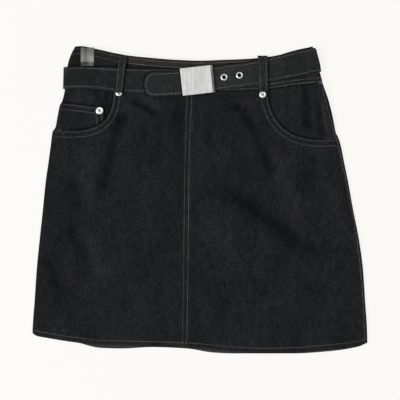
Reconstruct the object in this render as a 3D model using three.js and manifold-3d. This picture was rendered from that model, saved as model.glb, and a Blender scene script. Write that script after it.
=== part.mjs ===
// A denim skirt with its own belt, laid flat on its back.
// Millimetres. X runs to the right across the front, Y up towards the waist and Z up from the table.
// The origin is on the table, at the middle of the skirt's outline.

import * as THREE from 'three';
import { mergeVertices } from 'three/addons/utils/BufferGeometryUtils.js';
import Module from 'manifold-3d';

const wasm = await Module();
wasm.setup();

// Cloth thicknesses, and the clearance between pieces that are sewn or lie together
const CLOTH = 1.2;
const HEM = 2.0;
const BAND = 2.2;
const STRAP = 2.0;
const LOOP = 1.2;
const GAP = 0.3;

// Heights of the layers at the waist, from the table up
const BELT_FLOOR = LOOP + GAP;
const BAND_FLOOR = BELT_FLOOR + STRAP + GAP;
const BAND_STEP = 0.8;
const WAIST_LIFT = BAND_FLOOR + BAND_STEP;
const SKIRT_FOLD = 4.6;
const BAND_TOP = WAIST_LIFT + SKIRT_FOLD + BAND_STEP;
const BELT_CLEAR = 1.2;
const BELT_TOP = BAND_TOP + BELT_CLEAR + STRAP;
const TIP_TOP = BELT_TOP + GAP + STRAP;
const PLATE_FLOOR = TIP_TOP + GAP;

// How the skirt lies: the back comes down to the table below the waist, and the front swells off its sides
const LIFT_RUN = 90;
const SWELL = 0.5;
const SWELL_RUN = 30;

// Seams, hems and folds
const FELLED_WIDTH = 9.6;
const FELLED_PROUD = 0.6;
const SEAM_STEP = 0.5;
const HEM_DEPTH = 8;
const BACK_SEAM_X = 13;
// The back waistband shows above the front one at the right
const BACK_RISE = { start: 92, run: 75, height: 6 };
const FOLD_STEPS = 6;

// The skirt's two sides, from the hem up to the waist
const SIDES = [
  { y: -215, left: -244.2, right: 244.3 },
  { y: -189, left: -244, right: 243.6 },
  { y: -145, left: -241.1, right: 240.7 },
  { y: -102, left: -238.2, right: 237.8 },
  { y: -59, left: -234, right: 232.1 },
  { y: -15, left: -229.3, right: 223.5 },
  { y: 28, left: -224.9, right: 215.7 },
  { y: 55, left: -221, right: 210.2 },
  { y: 79, left: -217.8, right: 205.4 },
  { y: 92, left: -216.1, right: 201.2 },
  { y: 97, left: -215.2, right: 198.4 },
  { y: 101, left: -214.2, right: 197.4 },
  { y: 105, left: -211, right: 196.6 },
  { y: 122, left: -207.5, right: 193.1 },
  { y: 138, left: -203.9, right: 189 },
  { y: 144, left: -200.5, right: 187.4 },
  { y: 157, left: -197.1, right: 182.8 },
  { y: 166, left: -196, right: 179.6 },
  { y: 183, left: -194.5, right: 175 },
  { y: 191, left: -193.3, right: 172.3 },
  { y: 202, left: -190.9, right: 170 },
  { y: 214, left: -186.3, right: 167 },
  { y: 222, left: -182.1, right: 164.5 },
];

// The side seams: the front goes round under the left side, and the back comes round on to the right side
const SIDE_SEAMS = [
  { y: -222, left: -235.7, right: 239.5 },
  { y: -145, left: -232, right: 235.8 },
  { y: -59, left: -224.9, right: 227.1 },
  { y: 28, left: -215.8, right: 210.7 },
  { y: 79, left: -208.3, right: 199.8 },
  { y: 101, left: -203.7, right: 193.1 },
  { y: 222, left: -173, right: 159 },
];

// The waistband's lower seam and its top edge, from left to right
const WAIST = [
  { x: -192, seam: 177, top: 220.7 },
  { x: -174, seam: 177.5, top: 223.4 },
  { x: -148, seam: 175.5, top: 218.8 },
  { x: -126, seam: 170, top: 213.8 },
  { x: -100, seam: 165.3, top: 209.3 },
  { x: -68, seam: 162, top: 206.1 },
  { x: -35, seam: 159.6, top: 203.6 },
  { x: 0, seam: 158.3, top: 202.3 },
  { x: 35, seam: 158.4, top: 203.5 },
  { x: 70, seam: 159.4, top: 205 },
  { x: 100, seam: 161.2, top: 208 },
  { x: 135, seam: 166, top: 214.4 },
  { x: 177, seam: 170.5, top: 219.5 },
];

// The lower edges of the front and the back, from left to right
const HEMS = [
  { x: -243.7, front: -191.5, back: -190.5 },
  { x: -239.5, front: -197.5, back: -196 },
  { x: -222, front: -201.1, back: -200 },
  { x: -183, front: -207.3, back: -207 },
  { x: -145, front: -211.9, back: -215.9 },
  { x: -115, front: -212.6, back: -216.8 },
  { x: -70, front: -213.5, back: -214.7 },
  { x: -20, front: -215.4, back: -216.7 },
  { x: 20, front: -218.5, back: -222.7 },
  { x: 50, front: -221.8, back: -224 },
  { x: 95, front: -223.2, back: -224 },
  { x: 135, front: -222.4, back: -224 },
  { x: 190, front: -217.9, back: -220.6 },
  { x: 230, front: -213.1, back: -214.3 },
  { x: 241.4, front: -208.5, back: -209 },
  { x: 243.7, front: -202.5, back: -203.5 },
];

// The centre front seam's folded edge, from the hem up
const CENTRE_FRONT = [
  { y: -222, x: -17.4 },
  { y: -142, x: -16 },
  { y: -87, x: -15.3 },
  { y: -10, x: -14.5 },
  { y: 40, x: -14 },
  { y: 85, x: -12.8 },
  { y: 125, x: -11 },
  { y: 160, x: -9.8 },
];

// Soft folds of the front, each from one end to the other
const FOLDS = [
  { x1: -126.5, y1: 82, x2: -143.5, y2: 14, width: 8, height: -1.5 },
  { x1: -162, y1: 74, x2: -168, y2: -14, width: 13, height: 0.9 },
  { x1: -32, y1: 138, x2: -27, y2: 0, width: 10, height: -0.9 },
  { x1: 12, y1: 122, x2: 15, y2: 82, width: 7, height: -0.9 },
  { x1: 50, y1: 137, x2: 78, y2: 103, width: 8.5, height: -0.9 },
  { x1: 90, y1: 67, x2: 106, y2: 38, width: 9, height: -1.8 },
  { x1: 115, y1: 58, x2: 158, y2: -56, width: 15, height: 1.2 },
  { x1: 40, y1: 12, x2: 156, y2: -69, width: 14, height: -1.9 },
  { x1: 160, y1: -71, x2: 226, y2: -73, width: 7, height: -0.8 },
  { x1: 162, y1: 62, x2: 149, y2: 10, width: 15, height: -0.9 },
  { x1: 18, y1: -32, x2: 46, y2: -86, width: 12, height: 0.9 },
  { x1: -190, y1: -32, x2: -161, y2: -110, width: 10, height: -0.9 },
  { x1: -172, y1: -36, x2: -137, y2: -108, width: 11, height: 0.8 },
  { x1: -223, y1: -84, x2: -202, y2: -142, width: 9, height: -0.9 },
  { x1: 148, y1: -126, x2: 181, y2: -133, width: 7, height: -0.9 },
];

// The pocket mouths are quarters of rounded ovals. The power says how square they are.
const SCOOPS = {
  left: { x: -190, reach: 64, top: 159.5, depth: 58.5, power: 2.6 },
  right: { x: 178, reach: -80, top: 168, depth: 80, power: 2.4 },
};
// How far past its lowest point a mouth's curve runs on towards the side, as an angle
const SCOOP_OUTSIDE = -0.42;
const YOKE_LEFT = { inner: -110, bottom: 88 };
const YOKE_RIGHT = { inner: 82, bottom: 74 };
const YOKE_SEATED = 16;
const COIN = { right: -140, rightTop: 134, leftTop: 141.5 };

// The belt: the run beside the skirt, and the end that comes through the buckle and lies over it
const BELT = [
  { x: -198, under: 176.8, over: 167.1, width: 31.5 },
  { x: -174, under: 177.8, over: 167.1, width: 31.5 },
  { x: -150, under: 176.8, over: 167.1, width: 32 },
  { x: -125, under: 174.6, over: 167.1, width: 34 },
  { x: -100, under: 173.2, over: 167.1, width: 34.6 },
  { x: -75, under: 172.6, over: 167.2, width: 35 },
  { x: -45, under: 172.4, over: 168, width: 35 },
  { x: -5, under: 173, over: 172, width: 35 },
  { x: 29, under: 176.8, over: 176.8, width: 34.8 },
  { x: 67, under: 181.8, over: 181.8, width: 34.6 },
  { x: 97, under: 187.3, over: 187.3, width: 34.6 },
  { x: 120, under: 192.7, over: 192.7, width: 35.2 },
  { x: 140, under: 197.4, over: 197.4, width: 36 },
  { x: 170, under: 204, over: 204, width: 35.4 },
];
const BELT_SIDES = [
  { y: 150, left: -199.4, right: 179.2 },
  { y: 191, left: -198.3, right: 175.6 },
  { y: 221, left: -197.6, right: 168.4 },
];
const BELT_SPLIT = 12;
const UNDER_END_X = -14;
const TIP = { x: -81, depth: 12, dropFrom: -12, dropTo: 18 };
const EYELETS = [34.8, 57];
const EYELET = { hole: 2.7, barrel: 3.2, flange: 4.8, height: 0.7, cut: 3.55 };

// The buckle's plate
const PLATE = {
  x: -5.3,
  y: 172.3,
  width: 43.8,
  height: 39.6,
  thick: 2.5,
  turn: 6.5,
  bevel: 0.7,
  lip: 3.6,
  drop: 2.4,
};

// Belt loops on the front and on the back: the middle of each end, and the width there
const FRONT_LOOPS = [
  { name: 'loop_front_left', x1: -111.8, y1: 206.6, x2: -117.7, y2: 155.2, wide: 12, narrow: 11.2 },
  { name: 'loop_front_right', x1: 90.6, y1: 209.4, x2: 92.4, y2: 156.6, wide: 14.6, narrow: 12.4 },
];
const LOOP_SEAT = 11.3;
const BACK_LOOPS = [
  { name: 'loop_back_left', x: -112 },
  { name: 'loop_back_centre', x: BACK_SEAM_X },
  { name: 'loop_back_right', x: 62 },
];
const BACK_LOOP_WIDTH = 11;

const RIVETS = [
  { name: 'rivet_pocket_left', x: -117.8, y: 155.2, radius: 4.6 },
  { name: 'rivet_pocket_right', x: 90.8, y: 153, radius: 4.8 },
  { name: 'rivet_coin', x: -145.9, y: 129.8, radius: 5.3 },
];
const RIVET = { seat: 0.5, height: 0.85, nub: 1.5, nubHeight: 0.4 };
const TAB = { left: -173, right: -153.4, top: 221, bottom: 194.6, thick: 1, corner: 2.5 };

const DENIM = { color: 0x222427, roughness: 0.95, metalness: 0 };
const BELT_DENIM = { color: 0x242829, roughness: 0.95, metalness: 0 };
const STEEL = { color: 0xc9cbc9, roughness: 0.3, metalness: 1 };
const SATIN = { color: 0x8a8a86, roughness: 0.5, metalness: 0 };

const clamp = (t) => Math.min(Math.max(t, 0), 1);
const mix = (a, b, t) => a + (b - a) * t;
const smooth = (t) => clamp(t) ** 2 * (3 - 2 * clamp(t));

// Reads a column of a table at a place between its rows, on a curve that doesn't overshoot them.
function read(rows, key, at, column) {
  const last = rows.length - 1;
  const next = rows.findIndex((row) => row[key] > at);
  const i = next < 0 ? last - 1 : Math.max(next - 1, 0);
  const slope = (k) => (rows[k + 1][column] - rows[k][column]) / (rows[k + 1][key] - rows[k][key]);
  const tangent = (k) => {
    if (k === 0) return slope(0);
    if (k === last) return slope(last - 1);
    const product = slope(k - 1) * slope(k);
    return product > 0 ? (2 * product) / (slope(k - 1) + slope(k)) : 0;
  };
  const width = rows[i + 1][key] - rows[i][key];
  const t = clamp((at - rows[i][key]) / width);
  const start = rows[i][column] * (1 + 2 * t) * (1 - t) ** 2 + tangent(i) * width * t * (1 - t) ** 2;
  const end = rows[i + 1][column] * t * t * (3 - 2 * t) - tangent(i + 1) * width * t * t * (1 - t);
  return start + end;
}

const left = (y) => read(SIDES, 'y', y, 'left');
const right = (y) => read(SIDES, 'y', y, 'right');
const seamLeft = (y) => read(SIDE_SEAMS, 'y', y, 'left');
const seamRight = (y) => read(SIDE_SEAMS, 'y', y, 'right');
const centreFront = (y) => read(CENTRE_FRONT, 'y', y, 'x');
const waistSeam = (x) => read(WAIST, 'x', x, 'seam');
const waistTop = (x) => read(WAIST, 'x', x, 'top');
const backRise = (x) => BACK_RISE.height * smooth((x - BACK_RISE.start) / BACK_RISE.run);
const waistBackTop = (x) => waistTop(x) - 1 + backRise(x);
const frontHem = (x) => read(HEMS, 'x', x, 'front');
const backHem = (x) => read(HEMS, 'x', x, 'back');

// The back's outer face: flat on the table, rising to the waist over the belt behind it.
const backFace = (x, y) => WAIST_LIFT * smooth(1 - (waistSeam(x) - y) / LIFT_RUN);

// How far a place is from the nearer side fold.
const fromSide = (x, y) => Math.min(x - left(y), right(y) - x) - SKIRT_FOLD / 2;

function foldHeight(fold, x, y) {
  const [dx, dy] = [fold.x2 - fold.x1, fold.y2 - fold.y1];
  const length = Math.hypot(dx, dy);
  const along = ((x - fold.x1) * dx + (y - fold.y1) * dy) / length ** 2;
  const across = ((x - fold.x1) * dy - (y - fold.y1) * dx) / length;
  const ends = smooth(along * 3 + 0.6) * smooth((1 - along) * 3 + 0.6);
  return fold.height * ends * Math.exp(-((across / fold.width) ** 2));
}

// The front's outer face.
function frontFace(x, y) {
  const folds = FOLDS.reduce((sum, fold) => sum + foldHeight(fold, x, y), 0);
  return backFace(x, y) + SKIRT_FOLD + (SWELL + folds) * smooth(fromSide(x, y) / SWELL_RUN);
}

// The pocket facing's outer face: level with the front at the side, and under it from there on.
const yokeFace = (x, y) => frontFace(x, y) - (CLOTH + GAP) * smooth((fromSide(x, y) - 5) / 8);

const SKIRT = { back: backFace, front: frontFace, radius: SKIRT_FOLD / 2, left, right };
const YOKE = { ...SKIRT, front: yokeFace };
const WAISTBAND = {
  back: () => BAND_FLOOR,
  front: () => BAND_TOP,
  radius: (BAND_TOP - BAND_FLOOR) / 2,
  left,
  right,
};
const BELT_RING = {
  back: () => BELT_FLOOR,
  front: () => BELT_TOP,
  radius: (BELT_TOP - BELT_FLOOR) / 2,
  left: (y) => read(BELT_SIDES, 'y', y, 'left'),
  right: (y) => read(BELT_SIDES, 'y', y, 'right'),
};

// A point of a layer's outer face with its outward normal. Turn 0 is the front, PI the back, and between them
// it goes round the fold on one side, -1 for the left and 1 for the right.
function place(layer, x, y, turn, side) {
  const onFront = turn < Math.PI / 2;
  if (turn > 0 && turn < Math.PI) {
    const height = layer.back(x, y) + layer.radius * (1 + Math.cos(turn));
    const point = new THREE.Vector3(x + side * layer.radius * Math.sin(turn), y, height);
    return { point, normal: new THREE.Vector3(side * Math.sin(turn), 0, Math.cos(turn)) };
  }
  const face = onFront ? layer.front : layer.back;
  const alongX = face(x - 0.5, y) - face(x + 0.5, y);
  const alongY = face(x, y - 0.5) - face(x, y + 0.5);
  const normal = new THREE.Vector3(alongX, alongY, 1);
  normal.normalize().multiplyScalar(onFront ? 1 : -1);
  return { point: new THREE.Vector3(x, y, face(x, y)), normal };
}

const flat = (turn, x, proud = 0) => ({ turn, side: 0, x, proud });

// Columns spread evenly on one face, from one edge to another.
function spread(turn, from, to, count) {
  return Array.from({ length: count + 1 }, (_, i) => flat(turn, (y) => mix(from(y), to(y), i / count)));
}

// Columns round a side fold, from the front to the back.
function fold(layer, side) {
  const edge = side < 0 ? layer.left : layer.right;
  const x = (y) => edge(y) - side * layer.radius;
  const turn = (i) => (Math.PI * i) / FOLD_STEPS;
  return Array.from({ length: FOLD_STEPS + 1 }, (_, i) => ({ turn: turn(i), side, x, proud: 0 }));
}

// Rows at equal shares of the way from the top edge to the bottom edge.
const shares = (from, to, count) =>
  Array.from({ length: count + 1 }, (_, i) => ({ share: mix(from, to, i / count), above: 0 }));

// Turns a grid of outer and inner points into one closed body.
function body(grid) {
  const [rows, columns] = [grid.length, grid[0].length];
  const points = [...grid.flat().map((node) => node.outer), ...grid.flat().map((node) => node.inner)];
  const outer = (i, j) => i * columns + j;
  const inner = (i, j) => rows * columns + i * columns + j;
  const faces = [];
  const quad = (a, b, c, d) => faces.push([a, b, c], [a, c, d]);
  for (let i = 0; i < rows - 1; i++) {
    for (let j = 0; j < columns - 1; j++) {
      quad(outer(i, j), outer(i + 1, j), outer(i + 1, j + 1), outer(i, j + 1));
      quad(inner(i, j), inner(i, j + 1), inner(i + 1, j + 1), inner(i + 1, j));
    }
    quad(outer(i, 0), inner(i, 0), inner(i + 1, 0), outer(i + 1, 0));
    quad(outer(i + 1, columns - 1), inner(i + 1, columns - 1), inner(i, columns - 1), outer(i, columns - 1));
  }
  for (let j = 0; j < columns - 1; j++) {
    quad(outer(0, j + 1), inner(0, j + 1), inner(0, j), outer(0, j));
    quad(outer(rows - 1, j), inner(rows - 1, j), inner(rows - 1, j + 1), outer(rows - 1, j + 1));
  }
  const volume = faces.reduce((sum, [a, b, c]) => sum + points[a].dot(points[b].clone().cross(points[c])), 0);
  const index = faces.flatMap(([a, b, c]) => (volume > 0 ? [a, b, c] : [a, c, b]));
  const geometry = new THREE.BufferGeometry();
  geometry.setAttribute('position', new THREE.Float32BufferAttribute(points.flatMap((p) => p.toArray()), 3));
  geometry.setIndex(index);
  return geometry;
}

// A wall of cloth on a layer, between a top and a bottom edge.
function wall(layer, columns, rows, top, bottom, thickness) {
  const grid = rows.map((row) =>
    columns.map((column) => {
      let y = 0;
      for (let pass = 0; pass < 6; pass++) {
        const x = column.x(y);
        y = mix(top(x), bottom(x), row.share) + row.above;
      }
      const { point, normal } = place(layer, column.x(y), y, column.turn, column.side);
      const thick = row.thick ?? thickness;
      return {
        outer: point.clone().addScaledVector(normal, column.proud),
        inner: point.clone().addScaledVector(normal, -thick),
      };
    }),
  );
  return body(grid);
}

// Booleans, through a closed mesh with merged vertices.
function toSolid(geometry) {
  const bare = geometry.clone();
  bare.deleteAttribute('normal');
  bare.deleteAttribute('uv');
  const merged = mergeVertices(bare, 1e-4);
  const vertProperties = new Float32Array(merged.attributes.position.array);
  const triVerts = new Uint32Array(merged.index.array);
  return new wasm.Manifold(new wasm.Mesh({ numProp: 3, vertProperties, triVerts }));
}

function fromSolid(solid) {
  const { vertProperties, triVerts } = solid.getMesh();
  const geometry = new THREE.BufferGeometry();
  geometry.setAttribute('position', new THREE.Float32BufferAttribute(vertProperties, 3));
  geometry.setIndex(new THREE.Uint32BufferAttribute(triVerts, 1));
  return geometry;
}

// A point of a pocket mouth's edge, from its lowest point at angle 0 to its top at a quarter turn.
function scoopPoint({ x, reach, top, depth, power }, angle) {
  const sideways = Math.sign(Math.sin(angle)) * Math.abs(Math.sin(angle)) ** (2 / power);
  const down = Math.max(Math.cos(angle), 0) ** (2 / power);
  return new THREE.Vector2(x + reach * sideways, top - depth * down);
}

// The block that a pocket mouth takes out of the front. The clearance keeps its edge off the front's.
function scoopBlock(scoop, clearance) {
  const inward = Math.sign(scoop.reach);
  const steps = 14;
  const angle = (i) => mix(SCOOP_OUTSIDE, Math.PI / 2, i / steps);
  const edge = Array.from({ length: steps + 1 }, (_, i) => scoopPoint(scoop, angle(i)));
  const outline = [
    new THREE.Vector2(scoop.x - inward * 60, edge[0].y),
    ...edge,
    new THREE.Vector2(scoop.x + scoop.reach, 200),
    new THREE.Vector2(scoop.x - inward * 60, 200),
  ];
  const fitted = outline.map((p) => new THREE.Vector2(p.x - inward * clearance, p.y + clearance));
  const shape = new THREE.Shape(fitted);
  const block = new THREE.ExtrudeGeometry(shape, { depth: 60, bevelEnabled: false });
  return toSolid(block.translate(0, 0, -20));
}

function boxSolid(x1, x2, y1, y2) {
  return toSolid(new THREE.BoxGeometry(x2 - x1, y2 - y1, 60).translate((x1 + x2) / 2, (y1 + y2) / 2, 10));
}

const group = new THREE.Group();

function add(name, geometry, finish) {
  geometry.computeVertexNormals();
  const mesh = new THREE.Mesh(geometry, new THREE.MeshStandardMaterial(finish));
  mesh.name = name;
  group.add(mesh);
  return mesh;
}

const hemRows = (count) => [
  ...shares(0, 0.955, count),
  { share: 1, above: HEM_DEPTH + SEAM_STEP },
  { share: 1, above: HEM_DEPTH, thick: HEM },
  { share: 1, above: 0, thick: HEM },
];
const underSeam = (x) => waistSeam(x) - 2 * GAP;

// The front's left panel: it laps over the centre seam and goes round under the left side.
function frontLeft() {
  const seamFoot = (y) => centreFront(y) - FELLED_WIDTH - SEAM_STEP;
  const columns = [
    flat(0, centreFront, FELLED_PROUD),
    flat(0, (y) => centreFront(y) - FELLED_WIDTH, FELLED_PROUD),
    ...spread(0, seamFoot, (y) => left(y) + SKIRT_FOLD / 2, 22).slice(0, -1),
    ...fold(SKIRT, -1),
    flat(Math.PI, seamLeft),
  ];
  const panel = toSolid(wall(SKIRT, columns, hemRows(26), underSeam, frontHem, CLOTH));
  return fromSolid(panel.subtract(scoopBlock(SCOOPS.left, 0)));
}

function frontRight() {
  const columns = spread(0, (y) => centreFront(y) + GAP, (y) => seamRight(y) - GAP, 24);
  const panel = toSolid(wall(SKIRT, columns, hemRows(26), underSeam, frontHem, CLOTH));
  return fromSolid(panel.subtract(scoopBlock(SCOOPS.right, 0)));
}

function backLeft() {
  const columns = spread(Math.PI, () => BACK_SEAM_X - GAP / 2, (y) => seamLeft(y) + GAP, 8);
  return wall(SKIRT, columns, hemRows(16), underSeam, backHem, CLOTH);
}

function backRight() {
  const columns = [
    ...spread(Math.PI, () => BACK_SEAM_X + GAP / 2, (y) => right(y) - SKIRT_FOLD / 2, 8).slice(0, -1),
    ...fold(SKIRT, 1).reverse(),
    flat(0, seamRight),
  ];
  return wall(SKIRT, columns, hemRows(16), underSeam, backHem, CLOTH);
}

// The pocket facings end in the mouth's edge at the side, where the front takes over. Elsewhere they run on
// under the front.
function yokeLeft() {
  const columns = [
    ...spread(0, () => YOKE_LEFT.inner, (y) => left(y) + SKIRT_FOLD / 2, 9).slice(0, -1),
    ...fold(YOKE, -1),
    flat(Math.PI, seamLeft),
  ];
  const patch = toSolid(wall(YOKE, columns, shares(0, 1, 9), underSeam, () => YOKE_LEFT.bottom, CLOTH));
  const seated = boxSolid(left(YOKE_LEFT.bottom) + YOKE_SEATED + 3, 0, 0, 250);
  return fromSolid(patch.intersect(scoopBlock(SCOOPS.left, GAP).add(seated)));
}

function yokeRight() {
  const columns = spread(0, () => YOKE_RIGHT.inner, (y) => seamRight(y) - GAP, 10);
  const patch = toSolid(wall(YOKE, columns, shares(0, 1, 9), underSeam, () => YOKE_RIGHT.bottom, CLOTH));
  const seated = boxSolid(0, right(YOKE_RIGHT.bottom) - YOKE_SEATED - 6, 0, 250);
  return fromSolid(patch.intersect(scoopBlock(SCOOPS.right, GAP).add(seated)));
}

// The coin pocket lies on the left facing, moved out from it, and ends at the pocket mouth.
function coinPocket() {
  const layer = { ...SKIRT, front: (x, y) => yokeFace(x, y) + CLOTH + GAP };
  const start = left(COIN.leftTop);
  const topEdge = (x) => mix(COIN.leftTop, COIN.rightTop, (x - start) / (COIN.right - start));
  const columns = spread(0, () => COIN.right, (y) => left(y) + SKIRT_FOLD / 2, 6);
  const patch = toSolid(wall(layer, columns, shares(0, 1, 5), topEdge, () => YOKE_LEFT.bottom, CLOTH));
  return fromSolid(patch.intersect(scoopBlock(SCOOPS.left, GAP)));
}

// The waistband follows the panels round both sides.
function waistbandFront() {
  const columns = [
    ...spread(0, (y) => seamRight(y) - GAP, (y) => left(y) + WAISTBAND.radius, 20).slice(0, -1),
    ...fold(WAISTBAND, -1),
    flat(Math.PI, seamLeft),
  ];
  return wall(WAISTBAND, columns, shares(0, 1, 3), waistTop, waistSeam, BAND);
}

function waistbandBack() {
  const columns = [
    ...spread(Math.PI, (y) => seamLeft(y) + GAP, (y) => right(y) - WAISTBAND.radius, 20).slice(0, -1),
    ...fold(WAISTBAND, 1).reverse(),
    flat(0, seamRight),
  ];
  return wall(WAISTBAND, columns, shares(0, 1, 3), waistBackTop, waistSeam, BAND);
}

const beltEdge = (run, sign) => (x) => read(BELT, 'x', x, run) + (sign * read(BELT, 'x', x, 'width')) / 2;

// The belt's left run, from under the buckle round the left side.
function beltLeft() {
  const columns = [
    ...spread(0, () => UNDER_END_X, (y) => BELT_RING.left(y) + BELT_RING.radius, 14).slice(0, -1),
    ...fold(BELT_RING, -1),
    flat(Math.PI, (y) => BELT_RING.left(y) + BELT_SPLIT),
  ];
  return wall(BELT_RING, columns, shares(0, 1, 2), beltEdge('under', 1), beltEdge('under', -1), STRAP);
}

// Half the width of the strap near its rounded tip, as a share of the full half width.
const tipShare = (x) => Math.sqrt(1 - (1 - clamp((x - TIP.x) / TIP.depth)) ** 2);

// The belt's right run: from its rounded tip, over the left run, under the plate and round the right side.
function beltRight() {
  const layer = {
    ...BELT_RING,
    front: (x) => mix(TIP_TOP, BELT_TOP, smooth((x - TIP.dropFrom) / (TIP.dropTo - TIP.dropFrom))),
  };
  const halfWidth = (x) => (tipShare(x) * read(BELT, 'x', x, 'width')) / 2;
  const edge = (sign) => (x) => read(BELT, 'x', x, 'over') + sign * halfWidth(x);
  const tip = [0.2, 1.2, 3, 6, 9.5].map((step) => flat(0, () => TIP.x + step));
  const columns = [
    ...tip,
    ...spread(0, () => TIP.x + TIP.depth + 1, (y) => BELT_RING.right(y) - BELT_RING.radius, 24).slice(0, -1),
    ...fold(BELT_RING, 1),
    flat(Math.PI, (y) => BELT_RING.right(y) - BELT_SPLIT),
  ];
  let strap = toSolid(wall(layer, columns, shares(0, 1, 2), edge(1), edge(-1), STRAP));
  for (const x of EYELETS) {
    const cutter = new THREE.CylinderGeometry(EYELET.cut, EYELET.cut, 8, 20).rotateX(Math.PI / 2);
    strap = strap.subtract(toSolid(cutter.translate(x, read(BELT, 'x', x, 'over'), BELT_TOP - STRAP / 2)));
  }
  return fromSolid(strap);
}

function beltBack() {
  const from = (y) => BELT_RING.left(y) + BELT_SPLIT + GAP;
  const to = (y) => BELT_RING.right(y) - BELT_SPLIT - GAP;
  return wall(
    BELT_RING,
    spread(Math.PI, from, to, 20),
    shares(0, 1, 2),
    beltEdge('under', 1),
    beltEdge('under', -1),
    STRAP,
  );
}

// A belt loop: a narrow strip over the belt, down to its seats above and below it. The steps give the height
// of the side that faces the belt, and outward is 1 on the front and -1 on the back.
function beltLoop(steps, xAt, widthAt, outward) {
  const grid = steps.map(({ y, z }) =>
    [-0.5, 0, 0.5].map((across) => {
      const x = xAt(y) + across * widthAt(y);
      return {
        outer: new THREE.Vector3(x, y, z + outward * LOOP),
        inner: new THREE.Vector3(x, y, z),
      };
    }),
  );
  return body(grid);
}

// How far up and down the belt reaches under a loop.
function beltSpan(x) {
  const across = [x - 6, x + 6];
  const top = Math.max(...across.map(beltEdge('under', 1)));
  const bottom = Math.min(...across.map(beltEdge('under', -1)));
  return { top, bottom };
}

// A front loop, from its top end down. Its ends lie on the waistband where the belt leaves room for that.
function frontLoop({ x1, y1, x2, y2, wide, narrow }) {
  const share = (y) => (y1 - y) / (y1 - y2);
  const { top, bottom } = beltSpan((x1 + x2) / 2);
  const over = BELT_TOP + GAP;
  const foot = y2 + 4 > bottom ? mix(LOOP_SEAT, over, 0.55) : LOOP_SEAT;
  const above = y1 - 5 > top + 4 ? [{ y: y1 - 5, z: BAND_TOP + 2 * GAP }] : [];
  const below = y2 + 4 > bottom ? [] : [{ y: bottom - 5, z: foot }];
  const steps = [
    { y: y1, z: BAND_TOP + GAP },
    ...above,
    { y: top + 1.2, z: over - 0.2 },
    { y: top - 3, z: over },
    { y: bottom + 5, z: over },
    { y: bottom, z: over - 0.2 },
    ...below,
    { y: y2, z: foot },
  ];
  const xAt = (y) => mix(x1, x2, share(y));
  return beltLoop(steps, xAt, (y) => mix(wide, narrow, share(y)), 1);
}

function backLoop({ x }) {
  const { top, bottom } = beltSpan(x);
  const head = Math.min(top + 6, waistTop(x) - 1);
  const under = BELT_FLOOR - GAP;
  const seat = BAND_FLOOR - GAP;
  const steps = [
    { y: head, z: seat },
    { y: head - 1.2, z: seat },
    { y: top + 0.8, z: under },
    { y: bottom - 1, z: under },
    { y: bottom - 4, z: seat - 0.4 },
    { y: bottom - 7, z: seat - 0.4 },
  ];
  return beltLoop(steps, () => x, () => BACK_LOOP_WIDTH, -1);
}

// A turned piece, from its profile of radius and height.
function turned(profile, sides) {
  const points = profile.map(([r, z]) => new THREE.Vector2(r, z));
  return new THREE.LatheGeometry(points, sides).rotateX(Math.PI / 2);
}

function rivet(radius) {
  const { height, nub, nubHeight } = RIVET;
  const profile = [
    [0, 0],
    [radius - 0.4, 0],
    [radius, 0.25],
    [radius - 0.7, height],
    [nub + 1.2, height],
    [nub + 0.6, height - nubHeight],
    [nub, height],
    [0, height],
  ];
  return turned(profile, 24);
}

function eyelet() {
  const { hole, barrel, flange, height } = EYELET;
  const profile = [
    [hole, -STRAP + 0.1],
    [barrel, -STRAP + 0.1],
    [barrel, GAP],
    [flange, GAP],
    [flange, GAP + 0.2],
    [(flange + hole) / 2, GAP + height],
    [hole, GAP + 0.3],
    [hole, -STRAP + 0.1],
  ];
  return turned(profile, 24);
}

// The buckle's plate, with its right edge turned down towards the strap.
function plate() {
  const { width, height, thick, bevel, lip, drop } = PLATE;
  const half = width / 2;
  const outline = [
    [-half + bevel, 0],
    [half - 1, 0],
    [half + lip - 2.2, -drop + 0.6],
    [half + lip - 1.4, -drop],
    [half + lip - bevel, -drop],
    [half + lip - bevel, -drop + 1.4],
    [half - 0.2, thick - bevel],
    [-half + bevel, thick - bevel],
  ];
  const shape = new THREE.Shape(outline.map(([x, z]) => new THREE.Vector2(x, z)));
  const depth = height - 2 * bevel;
  const options = { depth, bevelEnabled: true, bevelSize: bevel, bevelThickness: bevel, bevelSegments: 2 };
  return new THREE.ExtrudeGeometry(shape, options).translate(0, 0, -depth / 2).rotateX(Math.PI / 2);
}

// The bare satin tab on the waistband, with its two lower corners rounded.
function tab() {
  const { left: x1, right: x2, top, bottom, thick, corner } = TAB;
  const shape = new THREE.Shape();
  shape.moveTo(x1, top);
  shape.lineTo(x1, bottom + corner);
  shape.absarc(x1 + corner, bottom + corner, corner, Math.PI, 1.5 * Math.PI, false);
  shape.absarc(x2 - corner, bottom + corner, corner, 1.5 * Math.PI, 2 * Math.PI, false);
  shape.lineTo(x2, top);
  return new THREE.ExtrudeGeometry(shape, { depth: thick, bevelEnabled: false, curveSegments: 5 });
}

add('back_left', backLeft(), DENIM);
add('back_right', backRight(), DENIM);
add('front_left', frontLeft(), DENIM);
add('front_right', frontRight(), DENIM);
add('yoke_left', yokeLeft(), DENIM);
add('yoke_right', yokeRight(), DENIM);
add('coin_pocket', coinPocket(), DENIM);
add('waistband_front', waistbandFront(), DENIM);
add('waistband_back', waistbandBack(), DENIM);
add('belt_left', beltLeft(), BELT_DENIM);
add('belt_right', beltRight(), BELT_DENIM);
add('belt_back', beltBack(), BELT_DENIM);
for (const loop of FRONT_LOOPS) add(loop.name, frontLoop(loop), DENIM);
for (const loop of BACK_LOOPS) add(loop.name, backLoop(loop), DENIM);

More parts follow.
